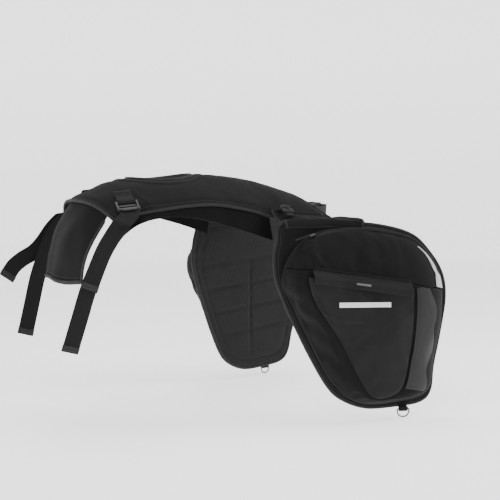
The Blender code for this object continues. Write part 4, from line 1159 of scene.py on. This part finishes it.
def split_w(u):
    """Height of the lid's lower edge at u."""
    return SPLIT_W - math.tan(SPLIT_SLOPE) * u


def beside_split(rise):
    """A point over the middle of the lid's lower edge, rise above it and square to it."""
    return BAG @ (front_at(0, split_w(0)) + SPLIT_UP * rise)


def above_split(point):
    """Signed distance of a local point above the lid's lower edge."""
    return (point.z - split_w(point.x)) * math.cos(SPLIT_SLOPE)


FRONT_EDGE = ((-0.205, 0.075), (-0.190, 0.083), (-0.120, 0.098), (-0.040, 0.105), (0.020, 0.1065),
              (0.060, 0.098), (0.120, 0.080))


def side_share(point):
    """1 on the bag's front-facing side wall, 0 on its face and its other walls."""
    return smooth_step((point.x - profile_at(FRONT_EDGE, point.z) + 0.006) / 0.006)


def clip(obj, keep_above, shift=0.0):
    """Keeps what is above the lid's lower edge, or below it, moved up by shift."""
    with editing(obj) as bm:
        bmesh.ops.bisect_plane(bm, geom=[*bm.verts, *bm.edges, *bm.faces], dist=SAME_SPOT,
                               plane_co=Vector((0, 0, SPLIT_W)) + SPLIT_UP * shift, plane_no=SPLIT_UP,
                               clear_inner=keep_above, clear_outer=not keep_above)
    return obj


def longest_run(points):
    """A clipped ring's points, started again at its gap."""
    start = max(range(len(points)), key=lambda k: (points[k] - points[k - 1]).length)
    return points[start:] + points[:start]


def body_rows(per_span=12):
    """The bag's outline rows: u and w at its back, then at its front's edge."""
    return closed_curve(BODY_OUTLINE, per_span)


def wall_grid(name, stations, sizes=()):
    """A band of the bag's wall at the stations, and of its front at the sizes."""
    rows = body_rows()
    grid = [[wall_point(row, s) for row in rows] for s in stations]
    grid += [[front_point(row, size) for row in rows] for size in sizes]
    return face_away(grid_object(name, grid, closed=True), BODY_MIDDLE)


# ---- Side bag pieces ----------------------------------------------------------------------------
def back_relief(u, w, s):
    """Sewn channels in the padded back: three across and one down, inside a sewn border."""
    depth = 0.0
    for level in (-0.130, -0.068, -0.006, 0.056):
        depth = max(depth, bump(w - level - 0.08 * (u - 0.01), 0.0036))
    depth = max(depth, bump(u - 0.012 + 0.10 * w, 0.0036) * (1 if w < 0.06 else 0.0))
    border = bump(s - 0.86, 0.022)
    return 0.0026 * max(depth * (1 if s < 0.86 else 0), border)


def make_back_panel():
    """The bag's padded back, a loop from its quilted mesh face round the edge to its inner face."""
    outline = closed_curve(PANEL_OUTLINE, 8)

    def ring(s):
        """u and w of the outline, drawn in to s of its size."""
        return [(PANEL_MIDDLE[0] + (p.x - PANEL_MIDDLE[0]) * s, PANEL_MIDDLE[1] + (p.y - PANEL_MIDDLE[1]) * s)
                for p in outline]

    rows = []
    for s in (*spread(0.02, 0.90, 30), 0.93, 0.96, 0.98, 0.992):
        rim = 0.0003 + 0.0022 * smooth_step((s - 0.93) / 0.07)
        rows.append([local_point(u, rim + back_relief(u, w, s), w) for u, w in ring(s)])
    waves = [noise.noise(Vector((p.x * 30, p.y * 30, 0.3))) * 0.0012 for p in outline]
    for s, v in ((1.0, 0.0040), (0.994, 0.0058), (0.98, 0.0078), (0.955, 0.0095), (0.925, 0.0098),
                 (0.90, 0.0088), *[(size, BACK_THICKNESS) for size in (0.87, 0.80, 0.5, 0.02)]):
        share = 1 if 0.89 < s < 0.99 else 0
        rows.append([local_point(u, v + wave * share, w) for (u, w), wave in zip(ring(s), waves)])
    panel = close_ends(grid_object("right_bag_padded_back", rows, closed=True))
    for polygon in panel.data.polygons:
        polygon.material_index = 1 if polygon.normal.y > 0.3 and polygon.center.y > -0.0035 else 0
    tree = tree_of(panel)
    bag_piece(panel, [CORDURA, MESH_CLOTH], "black_cordura", ["right_bag_back_panel"], fill=0.7)

    edge = [local_point(p.x, 0.0042, p.y) for p in outline]
    across = square_to(edge, [INWARD] * len(edge), closed=True)
    middle = local_point(PANEL_MIDDLE[0], 0, PANEL_MIDDLE[1])
    inset = [e - a * math.copysign(0.0018, a.dot(e - middle)) for e, a in zip(edge, across)]
    tape = sweep("right_bag_edge_binding", inset, across, oval(0.0042, 0.0048), closed=True)
    bag_piece(tape, BINDING, "black_cordura")

    sewn = []
    for k, (s, way) in enumerate(((0.955, 1), (0.958, -1), (0.86, -1))):
        line = [Vector((u, 0, w)) for u, w in ring(s)]
        sewn.append(seam(f"right_back_stitch_{k}", tree, line, INWARD * way, closed=True))
    bag_piece(join("right_bag_back_stitching", sewn), THREAD, "black_webbing")


def make_piping():
    """The cord in the seam between the bag's back and its wall."""
    base = [wall_point(row, 0.0) + Vector((0, -0.0012, 0)) for row in body_rows(8)]
    across = square_to(base, [INWARD] * len(base), closed=True)
    cord = sweep("right_bag_piping", base, across, oval(0.0024, 0.0024, 8), closed=True)
    bag_piece(cord, BINDING, "black_cordura")


def make_shell():
    """The bag's walls below the lid, settled between the piping, the lid's edge and the pocket."""
    stations = [0.0, 0.04, *spread(0.08, 1.0, 17)]
    sizes = (0.97, 0.93, 0.86, 0.76, 0.64, 0.5, 0.36, 0.22, 0.1, 0)
    shell = merge_centre(wall_grid("right_bag_cloth", stations, sizes))
    clip(shell, keep_above=False, shift=-0.0006)

    def folds(point, normal):
        side = smooth_step((-0.02 - point.x) / 0.08)
        depth = -point.y
        free = smooth_step((depth - 0.014) / 0.02) * smooth_step((0.070 - depth) / 0.02)
        along = point.z + point.x * 0.35
        wave = math.sin(along * 95 + 2.0 * noise.noise(point * 18)) * 0.0016
        wave += noise.noise(point * 26) * 0.0030
        return normal * wave * free * (0.45 + 0.55 * side) * (1 - side_share(point))

    move_points(shell, folds)

    def pinned(point):
        depth = -point.y
        if side_share(point) > 0.5:
            return 1.0
        if depth < BODY_BASE_V + 0.002 or above_split(point) > -0.004:
            return 1.0
        return 1.0 if depth > front_depth(point.z) - 0.003 else 0.0

    settle_cloth(shell, pinned, pressure=2.5, slack=0.03, cap=0.006)
    bag_piece(thicken(shell, BAG_CLOTH), LID_CLOTH, "black_cordura", ["right_bag_shell"])


def make_boxing():
    """The band of wall between the back and the main zip."""
    boxing = wall_grid("right_bag_gusset_strip", spread(0.0, SEAM - 0.004, 5))
    clip(boxing, keep_above=True, shift=0.0006)
    bag_piece(thicken(boxing, BAG_CLOTH), CORDURA, "black_cordura", ["right_bag_boxing"])


def lid_folds(point, normal):
    """Soft sags in the lid: a hollow in the middle, pulls towards both ends of the zip."""
    height = above_split(point)
    free = smooth_step(height / 0.018) * smooth_step((-point.y - 0.030) / 0.018)
    u = point.x
    sag = -0.0042 * bump(math.hypot((u + 0.03) / 0.062, (height - 0.05) / 0.034), 1.0)
    ridge = 0.0030 * bump(height - 0.030 - 0.35 * (u - 0.02), 0.010) * bump(u - 0.065, 0.055)
    left = 0.0030 * bump(height - 0.020 + 0.9 * (u + 0.095), 0.009) * bump(u + 0.105, 0.030)
    small = noise.noise(point * 24) * 0.0022
    upright = bump(height - 0.055, 0.030)
    line = u + 0.112 - 0.12 * (height - 0.05)
    left += (0.0030 * bump(line - 0.008, 0.006) - 0.0042 * bump(line, 0.0040)) * upright
    near = smooth_step((profile_at(FRONT_EDGE, point.z) - 0.004 - u) / 0.035)
    return normal * (sag + ridge + left + small) * free * near


def make_lid():
    """The lid above the fold, settled between the zip and the fold."""
    stations = [LID_SEAM, LID_SEAM + 0.03, *spread(LID_SEAM + 0.08, 1.0, 15)]
    lid = wall_grid("right_lid_cloth", stations, (0.96, 0.90, 0.83, 0.75, 0.67, 0.58, 0.5, 0.42))
    clip(lid, keep_above=True, shift=0.0006)
    with editing(lid) as bm:
        bmesh.ops.delete(bm, geom=[f for f in bm.faces if f.calc_center_median().z < -0.01], context="FACES")
    move_points(lid, lid_folds)

    def pinned(point):
        if -point.y < LID_SEAM_DEPTH or above_split(point) < 0.003 or side_share(point) > 0.5:
            return 1.0
        return 0.0

    settle_cloth(lid, pinned, pressure=2.0, slack=0.03, cap=0.007)
    bag_piece(thicken(lid, BAG_CLOTH), LID_CLOTH, "black_cordura", ["right_lid_shell"], "right_lid_body")


def zip_side(name, lid_side, body, node):
    """One side of the main zip: its woven tape and its moulded teeth along the seam."""
    near = LID_SEAM - 0.0015 if lid_side else SEAM - 0.0045
    stations = (near, near + 0.042) if lid_side else (near - 0.042, near)
    tape = wall_grid(name + "_tape", spread(*stations, 4))
    move_points(tape, lambda point, normal: normal * 0.0010)
    clip(tape, keep_above=True, shift=0.0025)
    bag_piece(thicken(tape, TAPE_CLOTH, 1.0, levels=0), ZIP_TAPE, "zip_coil", [node], body)

    path = [wall_point(row, (near + SEAM) / 2) for row in body_rows(8)]
    spots = resample(longest_run([p for p in path if above_split(p) > 0.004]), 0.0019)
    bm = bmesh.new()
    for k in range(1, len(spots) - 1):
        tangent = (spots[k + 1] - spots[k - 1]).normalized()
        outward = Vector((spots[k].x, 0, spots[k].z + 0.03)).normalized() * 0.8 + Vector((0, -0.6, 0))
        outward = (outward - tangent * outward.dot(tangent)).normalized()
        across = tangent.cross(outward).normalized()
        turn = Matrix((tangent, across, outward)).transposed()
        toward = across if (across.y < 0) == lid_side else -across
        centre = spots[k] + outward * 0.0016 + toward * 0.0006 + tangent * (0.00095 if lid_side else 0)
        verts = bmesh.ops.create_cube(bm, size=1.0)["verts"]
        bmesh.ops.scale(bm, vec=(0.0010, 0.0030, 0.0014), verts=verts)
        bmesh.ops.rotate(bm, verts=verts, matrix=turn)
        bmesh.ops.translate(bm, verts=verts, vec=centre)
    bag_piece(from_bmesh(name + "_teeth", bm), ZIP_TEETH, "zip_coil", body=body)


def in_place_of(node, piece, angle):
    """Moves the piece onto the middle of the frame's node, turned by angle in the bag's frame."""
    low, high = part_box(node)
    centre = BAG.inverted() @ ((low + high) / 2)
    piece.data.transform(Matrix.Translation(centre) @ Matrix.Rotation(angle, 4, "Y"))
    return piece


def make_slider():
    """The zip's slider and pull, shaped round the frame's own."""
    slider = soft_boxes("right_zip_slider_casting", [
        ((0.0125, 0.0092, 0.0020), (0, 0, -0.0002), 0.0009),
        ((0.0080, 0.0060, 0.0018), (-0.0020, 0, -0.0002), 0.0008),
        ((0.0100, 0.0022, 0.0016), (0, 0, 0.0022), 0.0007),
        *[((0.0018, 0.0022, 0.0032), (x, 0, 0.0012), 0.0006) for x in (0.0036, -0.0036)]])
    bag_piece(in_place_of("right_zip_slider", slider, SLIDER_ANGLE), GUNMETAL, "blackened_metal",
              ["right_zip_slider"], "right_zip_slider_body")
    pull = soft_boxes("right_zip_pull_moulding", [
        *[((0.030, 0.0020, 0.0020), (0.001, side * 0.0026, 0), 0.0008) for side in (-1, 1)],
        ((0.0030, 0.0072, 0.0021), (0.0150, 0, 0), 0.0009),
        ((0.0150, 0.0078, 0.0028), (-0.0090, 0, 0), 0.0012),
        *[((0.0010, 0.0066, 0.0034), (-0.0045 - 0.003 * k, 0, 0), 0.0004) for k in range(4)]])
    bag_piece(in_place_of("right_zip_pull", pull, SLIDER_ANGLE), TRIM_RUBBER, "soft_rubber_trim",
              ["right_zip_pull"], "right_zip_pull_body")


def make_reflector():
    """Two reflective patches that meet at a fold, widening down the side of the lid."""
    rows = closed_curve(BODY_OUTLINE, 16)[78:108]
    last = len(rows) - 1
    grid = []
    for share in spread(0.0, 1.0, 13):
        line = []
        for k, row in enumerate(rows):
            reach = 0.10 + 0.90 * smooth_step(k / last * 1.15)
            reach *= 1 - 0.42 * bump(k / last - 0.50, 0.045)
            line.append(wall_point(row, 0.37 + 0.150 * reach * (2 * share - 1)))
        grid.append(line)
    strip = face_away(grid_object("right_lid_reflective_wedge", grid), BODY_MIDDLE)
    clip(strip, keep_above=True, shift=0.002)

    def ridge(point, normal):
        return normal * (0.0009 + 0.0010 * bump(above_split(point) - 0.026, 0.006))

    move_points(strip, ridge)
    thicken(strip, 0.0007, 1.0)
    bag_piece(strip, REFLECTOR, "reflective_tape", ["right_lid_reflector"], "right_lid_body")


def make_gloss_gusset():
    """The smooth coated panel down the bag's side, drawn in along its outer seam."""
    rows = body_rows()[72:109]
    outer = [0.50 + 0.20 * bump(row[3] - 0.050, 0.085) + 0.05 * math.sin(row[3] * 75) for row in rows]
    grid = [[wall_point(row, low + (0.955 - low) * share) for row, low in zip(rows, outer)]
            for share in spread(0.0, 1.0, 22)]
    panel = face_away(grid_object("right_smooth_side_panel", grid), BODY_MIDDLE)
    clip(panel, keep_above=False, shift=-0.004)

    def swell(point, normal):
        depth = -point.y
        wave = 0.5 + 0.5 * math.sin(point.z * 38 + 60 * depth + 0.6)
        middle = smooth_step((depth - 0.016) / 0.014) * smooth_step((0.072 - depth) / 0.016)
        return normal * (0.0014 + (0.0030 * wave + 0.0012 * noise.noise(point * 22)) * middle)

    move_points(panel, swell)
    thicken(panel, TAPE_CLOTH, 1.0)
    tree = tree_of(panel)
    seams = []
    for k, row in enumerate((grid[1], grid[-2])):
        line = [p for p in row if above_split(p) < -0.006]
        ways = [(p - BODY_MIDDLE).normalized() for p in line]
        seams.append(stitches(f"right_side_panel_stitch_{k}", *settle_on(tree, line, ways, 0.006)))
    bag_piece(panel, SMOOTH_CLOTH, "coated_fabric", ["right_gloss_gusset"])
    bag_piece(join("right_side_panel_stitching", seams), DARK_THREAD, "black_webbing")


def pocket_grid(name):
    """The pocket's plain shape over the whole of the bag's front."""
    rows = body_rows()

    def gap(row):
        """How far the pocket stands off at its edge: most at its upper left corner."""
        return smooth_step((row[3] + 0.055) / 0.04) * smooth_step(-row[2] / 0.04)

    rings = [(0.955, 0.0006, 0), (0.985, 0.0012, 0.0022), (0.992, 0.0024, 0.0046), (0.975, 0.0046, 0.0044),
             (0.945, 0.0072, 0.0026), (0.90, 0.0092, 0), (0.84, 0.0102, 0), (0.77, 0.0107, 0)]
    rings += [(size, 0.0108, 0) for size in (*spread(0.69, 0.13, 8), 0.06, 0)]
    grid = [[front_point(row, size, lift + more * gap(row)) for row in rows] for size, lift, more in rings]
    return face_away(merge_centre(grid_object(name, grid, closed=True)), BODY_MIDDLE)


def pocket_folds(point, normal):
    """The front pocket's pleat on the left, its slack across the top and the tucks at its foot."""
    u, w = point.x, point.z
    height = above_split(point)
    face = smooth_step((-point.y - front_depth(w) - 0.004) / 0.004)
    left_edge = -0.128 + 0.42 * max(0.0, 0.010 - w)
    pleat = -0.0052 * bump(u - left_edge - 0.022, 0.0055) * smooth_step((w + 0.10) / 0.06)
    ridge = 0.0030 * bump(u - left_edge - 0.034, 0.0075) * smooth_step((w + 0.12) / 0.06)
    tuck = -0.0034 * bump(u - 0.010 - 0.40 * (w + 0.21), 0.005) * smooth_step((-0.10 - w) / 0.05)
    slack = 0.0022 * math.sin(height * 75 + u * 22) * smooth_step((height + 0.10) / 0.08)
    small = noise.noise(point * 20) * 0.0024
    return normal * (pleat + ridge + tuck + slack + small) * face


def make_pocket():
    """The front pocket, which stands off the bag's face, and its stitching."""
    pocket = pocket_grid("right_pocket_cloth")
    clip(pocket, keep_above=False, shift=-POCKET_DROP + 0.001)
    move_points(pocket, pocket_folds)

    def pinned(point):
        depth = -point.y - front_depth(point.z)
        if depth < 0.0045 or above_split(point) > -POCKET_DROP - 0.003:
            return 1.0
        return 0.0

    settle_cloth(pocket, pinned, pressure=1.4, slack=0.022, cap=0.005, soften=4,
                 calm=front_point(BODY_OUTLINE[0], 0.0, POCKET_DEPTH))
    thicken(pocket, POCKET_THICKNESS)
    tree = tree_of(pocket)
    bag_piece(pocket, POCKET_CLOTH, "black_cordura", ["right_front_pocket"])

    lines = []
    for size in (0.93, 0.905):
        ring = [front_point(row, size) for row in body_rows()]
        lines.append(longest_run([p for p in ring if above_split(p) < -POCKET_DROP - 0.004]))
    lines.append([local_point(u, 0, split_w(u) - POCKET_DROP - 0.006) for u in spread(-0.108, 0.094, 60)])
    runs = [seam(f"right_pocket_stitch_{k}", tree, line, INWARD) for k, line in enumerate(lines)]
    bag_piece(join("right_pocket_stitching", runs), DARK_THREAD, "black_webbing")
    return tree


def make_rain_flap():
    """The flap over the pocket's zip, sewn to the bag along its top, with its blank label."""
    grid = []
    for drop in (0.0008, -0.0012, *spread(-0.004, -0.028, 9)):
        line = []
        for u in spread(*RAIN_FLAP_SPAN, 60):
            w = split_w(u) + drop / math.cos(SPLIT_SLOPE)
            out = smooth_step((-drop + 0.001) / 0.015)
            wave = 0.0007 * math.sin(u * 60 + 0.8) + 0.0008 * noise.noise(Vector((u * 40, drop * 50, 1)))
            base = max(-front_at(u, w).y, front_depth(w) + FRONT_CROWN * (1 - 0.4 * out))
            line.append(local_point(u, base + 0.0006 + (POCKET_DEPTH + 0.0046 + wave) * out, w))
        grid.append(line)
    flap = face_away(grid_object("right_rain_flap_cloth", grid), BODY_MIDDLE)
    thicken(flap, FLAP_THICKNESS)
    tree = tree_of(flap)
    pair = bag_piece(flap, POCKET_CLOTH, "black_cordura", ["right_rain_flap"],
                     bend=("right_rain_flap_body", beside_split(-0.006), beside_split(-0.014)))

    runs = []
    for k, drop in enumerate((-0.0225, -0.0255)):
        below = drop / math.cos(SPLIT_SLOPE)
        line = [local_point(u, 0, split_w(u) + below) for u in spread(-0.115, 0.098, 70)]
        runs.append(seam(f"right_rain_flap_stitch_{k}", tree, line, INWARD))
    sewn = join("right_rain_flap_stitching", runs)
    bag_piece(sewn, DARK_THREAD, "black_webbing", body="right_rain_flap_body")

    line = [local_point(u, 0, split_w(u) - 0.0165) for u in spread(-0.0265, 0.0045, 9)]
    places, _ = drop_on(tree, line, INWARD, 0.0009)
    label = sweep("right_blank_label", places, [SPLIT_UP] * len(places), flat_section(0.0046, 0.0012))
    bag_piece(label, LABEL, "grey_tab", ["right_rain_flap_tab"], "right_rain_flap_body")


def zip_place(u, drop, lift):
    """A point over the pocket's zip, drop below the lid's edge."""
    w = split_w(u) + drop
    return local_point(u, front_depth(w) + FRONT_CROWN * 0.62 + lift, w)


def make_pocket_zip():
    """The pocket's zip under its flap: two tapes, teeth and a slider."""
    for part, low, high in (("lower", -0.0155, -0.0112), ("upper", -0.0098, -0.0055)):
        along = spread(*POCKET_ZIP_SPAN, 40)
        grid = [[zip_place(u, drop, 0.0009) for u in along] for drop in spread(low, high, 3)]
        tape = face_away(grid_object(f"right_pocket_zip_{part}", grid), BODY_MIDDLE)
        nodes = ["right_pocket_zip_chain"] if part == "lower" else []
        bag_piece(thicken(tape, TAPE_CLOTH, 1.0, levels=0), ZIP_TAPE, "zip_coil", nodes)
    teeth = [((0.0011, 0.0012, 0.0026), zip_place(u, -0.0099 if k % 2 else -0.0111, 0.0020), 0.0003)
             for k, u in enumerate(spread(-0.092, 0.084, 92))]
    bag_piece(soft_boxes("right_pocket_zip_teeth", teeth), ZIP_TEETH, "zip_coil")
    slider = soft_boxes("right_pocket_slider_casting", [
        ((0.0115, 0.0018, 0.0078), (0, 0, 0), 0.0008), ((0.0080, 0.0014, 0.0024), (0, -0.0010, 0), 0.0005)])
    bag_piece(in_place_of("right_pocket_zip_slider", slider, SPLIT_SLOPE), GUNMETAL, "blackened_metal",
              ["right_pocket_zip_slider"], "right_pocket_slider_body")


def make_bar(tree):
    """The plain pale bar on the pocket."""
    line = [local_point(u, 0, -0.010 - 0.02 * u) for u in spread(*BAR_SPAN, 40)]
    places, _ = drop_on(tree, line, INWARD, 0.0009)
    upright = [Vector((0, 0, 1))] * len(places)
    bar = sweep("right_plain_reflective_bar", places, upright, flat_section(BAR_HEIGHT, 0.0010))
    bag_piece(bar, PALE_TAPE, "reflective_tape", ["right_reflective_bar"])


def make_lid_fold():
    """The cloth that the lid folds on, along its lower front edge."""
    grid = [[front_at(u, split_w(u) + rise, 0.0016) for u in spread(-0.112, 0.100, 60)]
            for rise in spread(-0.004, 0.008, 9)]
    fold = face_away(grid_object("right_lid_fold_cloth", grid), BODY_MIDDLE)
    bag_piece(thicken(fold, TAPE_CLOTH, 1.0, levels=0), CORDURA, "black_cordura",
              bend=("right_lid_body", beside_split(-0.002), beside_split(0.005)))


def make_bottom_ring():
    """The webbing loop under the bag and the wire ring that swings in it."""
    anchor = (0.098, -0.2315)
    loop = ((0.0, 0.008), (0.0, 0.002), (0.0010, -0.0075), (0.0046, -0.0105), (0.0082, -0.0075),
            (0.0082, -0.0005))
    points = open_curve([local_point(anchor[0], 0.0092 + v, anchor[1] + w) for v, w in loop], 6)
    band = sweep("right_bottom_loop", points, [Vector((1, 0, 0))] * len(points),
                 flat_section(0.019, WEBBING_THICKNESS))
    bag_piece(band, WEBBING, "black_webbing", ["right_bottom_tab"])
    pivot = BAG @ local_point(anchor[0], 0.0138, anchor[1] - 0.0062)
    half = [(0.0125, 0.0), (0.0128, -0.006), (0.0105, -0.0125), (0.005, -0.0162)]
    outline = [(0.0, 0.0), *half, (0.0, -0.0170), *[(-x, z) for x, z in reversed(half)]]
    turn = Matrix.Rotation(-BAG_YAW, 4, "Z")
    path = [turn @ Vector((p.x, 0, p.y)) + pivot for p in closed_curve(outline, 5)]
    face = turn @ Vector((0, 1, 0))
    ring = sweep("right_bottom_wire_ring", path, [face] * len(path), oval(0.0015, 0.0015, 10), closed=True)
    both_sides(ring, "right_bottom_ring_body", GUNMETAL, ["right_bottom_ring"], "blackened_metal")


# ---- Yoke ---------------------------------------------------------------------------------------
def yoke_point(s, t):
    """s runs from the saddle to the bag, and t from the yoke's rear edge to its front one."""
    hem_x = 0.066 + 0.128 * t
    bag_u = -0.154 + YOKE_WIDTH * t
    fall = max(0, t - 0.62)
    corner = 0.003 * (1 - smooth_step(t / 0.15))
    hump = -0.0065 + 0.0105 * smooth_step(t / 0.2) + 0.003 * math.sin(t * 6)
    on_saddle = saddle_point(hem_x, -HALF_WIDTH + 0.016, -0.0042)
    hem = saddle_point(hem_x, -HALF_WIDTH, -0.0010) + Vector((0, -0.0050, 0.0010))
    top = BAG @ local_point(bag_u, 0.006, SWING_HINGE_W + 0.0030 - corner - 0.010 * fall)
    shoulder = BAG @ local_point(bag_u, 0.0122, SWING_HINGE_W - 0.006 - 0.010 * fall)
    front = BAG @ local_point(-0.150 + 0.166 * t, 0.0126, SWING_HINGE_W - 0.018 - 0.012 * fall)
    stops = [on_saddle, hem, hem.lerp(top, 0.5) + Vector((0, 0, hump)), top, shoulder, front]
    stops = [2 * stops[0] - stops[1], *stops, 2 * stops[-1] - stops[-2]]
    at = s * (len(stops) - 3)
    k = min(int(at), len(stops) - 4)
    point = catmull(*stops[k:k + 4], at - k)
    point.z += 0.0022 * noise.noise(Vector((s * 6, t * 7, 0.9))) * math.sin(math.pi * s)
    return point


def make_yoke():
    """The cloth that the bag hangs on, from the saddle's hem to the top of its back."""
    rows = [[yoke_point(s, t) for t in spread(0, 1, 29)] for s in spread(0, 1, 33)]
    yoke = face_away(grid_object("right_yoke_cloth", rows), (0.1, -0.1, -0.4))
    thicken(yoke, PANEL_CLOTH)
    tree = tree_of(yoke)
    hinge = BAG @ local_point(-0.07, 0.006, SWING_HINGE_W)
    bend = ("right_bag_body", Vector((0.13, -HALF_WIDTH, -0.078)), hinge)
    pair = both_sides(yoke, "saddle", CORDURA, ["right_yoke"], "black_cordura", bend=bend)

    edges = []
    for k, t in enumerate((0.0, 1.0)):
        line = [yoke_point(s, t) for s in spread(0.07, 1.0, 41)]
        across = square_to(line, [Vector((0, -0.35, 1))] * len(line))
        edges.append(sweep(f"right_yoke_edge_{k}", line, across, oval(0.0024, 0.0022)))
    both_sides(join("right_yoke_binding", edges), "saddle", BINDING, slot="black_cordura", bend=bend)

    runs = []
    for k, (s, away) in enumerate(((0.05, (0, -0.5, 1)), (0.13, (0, -0.5, 1)), (0.95, (-0.2, -1, 0.2)))):
        line = [yoke_point(s, j / 60) for j in range(2, 59)]
        _, ways = settle_on(tree, line, [Vector(away)] * len(line), 0)
        runs.append(stitches(f"right_yoke_stitch_{k}", *settle_on(tree, line, ways, 0.004)))
    both_sides(join("right_yoke_stitching", runs), "saddle", THREAD, slot="black_webbing", bend=bend)


def make_yoke_lock():
    """The small ladder lock that joins the yoke's rear corner to the bag."""
    low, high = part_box("right_yoke_ladder_lock")
    normal = Vector((0.05, -0.18, 1))
    matrix = lock_matrix((low + high) / 2 + Vector((0, 0, 0.0022)), Vector((-1, 0.1, 0)), normal)
    lock = ladder_lock("right_yoke_lock_moulding", 0.0150, 0.022)
    lock.data.transform(matrix)
    both_sides(lock, "saddle", PLASTIC, ["right_yoke_ladder_lock"], "black_acetal")
    line = [(0.030, -0.0058), (0.018, -0.0050), (0.010, -0.0022), (0.002, 0.0026), (-0.004, 0.0026),
            (-0.012, -0.0022), (-0.022, -0.0052), (-0.032, -0.0062)]
    points = open_curve([matrix @ Vector((0, a, b)) for a, b in line], 5)
    band = sweep("right_yoke_band", points, [matrix.to_3x3() @ Vector((1, 0, 0))] * len(points),
                 flat_section(0.0155, WEBBING_THICKNESS))
    both_sides(band, "saddle", WEBBING, ["right_yoke_webbing"], "black_webbing")


# ---- Stage --------------------------------------------------------------------------------------
def make_camera():
    """The camera, in front of the bag's right-hand side and a little above it."""
    camera = new_object("camera", bpy.data.cameras.new("camera"))
    camera.data.lens = CAMERA_LENS
    camera.location = CAMERA_PLACE
    look = Vector((math.sin(CAMERA_AZIMUTH) * math.cos(CAMERA_ELEVATION),
                   math.cos(CAMERA_AZIMUTH) * math.cos(CAMERA_ELEVATION), -math.sin(CAMERA_ELEVATION)))
    camera.rotation_euler = look.to_track_quat("-Z", "Y").to_euler()
    bpy.context.scene.camera = camera


def make_stage():
    """A round pale floor that bends up into a low wall, under three soft lights."""
    floor_z = CAD_BOX[0][2] - FLOOR_GAP
    bends = [math.pi / 2 * k / 10 for k in range(1, 11)]
    outline = [(0.0, 0.0), (2.0, 0.0), (FLOOR_RADIUS, 0.0),
               *[(FLOOR_RADIUS + FLOOR_BEND * math.sin(a), FLOOR_BEND * (1 - math.cos(a))) for a in bends],
               (FLOOR_RADIUS + FLOOR_BEND, WALL_HEIGHT)]
    rows = [[Vector((r * math.cos(a), r * math.sin(a), floor_z + z)) for a in round_angles(96)]
            for r, z in outline]
    floor = merge_centre(grid_object("stage_floor", rows, closed=True))
    if floor.data.polygons[0].normal.z < 0:
        floor.data.flip_normals()
    floor.data.shade_smooth()
    floor.data.materials.append(STAGE)

    world = bpy.data.worlds.new("studio")
    world.use_nodes = True
    sky = world.node_tree.nodes["Background"]
    sky.inputs["Color"].default_value = (1.0, 1.0, 1.0, 1.0)
    sky.inputs["Strength"].default_value = SKY_STRENGTH
    bpy.context.scene.world = world
    for name, place, size, power in LIGHTS:
        light = new_object(name, bpy.data.lights.new(name, "AREA"))
        light.data.shape = "DISK"
        light.data.size = size
        light.data.energy = power
        light.location = place
        light.rotation_euler = (LIGHT_TARGET - Vector(place)).to_track_quat("-Z", "Y").to_euler()


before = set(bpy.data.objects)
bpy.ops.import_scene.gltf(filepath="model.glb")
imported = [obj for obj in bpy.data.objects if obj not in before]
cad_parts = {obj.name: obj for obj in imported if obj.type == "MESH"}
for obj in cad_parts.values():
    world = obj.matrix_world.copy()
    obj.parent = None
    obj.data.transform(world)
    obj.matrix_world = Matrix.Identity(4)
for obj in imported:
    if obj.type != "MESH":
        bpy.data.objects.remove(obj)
CAD_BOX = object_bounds()
make_camera()
make_stage()
saddle = make_saddle()
make_saddle_trim(saddle)
make_liner()
make_rear_flap()
make_rear_strap("right", -1, RIGHT_TAIL)
make_rear_strap("left", 1, LEFT_TAIL)
make_belt()
make_yoke()
make_yoke_lock()
make_back_panel()
make_piping()
make_shell()
make_boxing()
make_lid()
zip_side("right_zip_body", False, "right_bag_body", "right_zip_chain_body_side")
zip_side("right_zip_lid", True, "right_lid_body", "right_zip_chain_lid_side")
make_slider()
make_reflector()
make_gloss_gusset()
pocket_tree = make_pocket()
make_rain_flap()
make_pocket_zip()
make_bar(pocket_tree)
make_lid_fold()
make_bottom_ring()
for node in ("right_bag_back_board", "left_bag_back_board"):
    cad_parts[node].data.materials.clear()
    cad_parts[node].data.materials.append(BOARD)
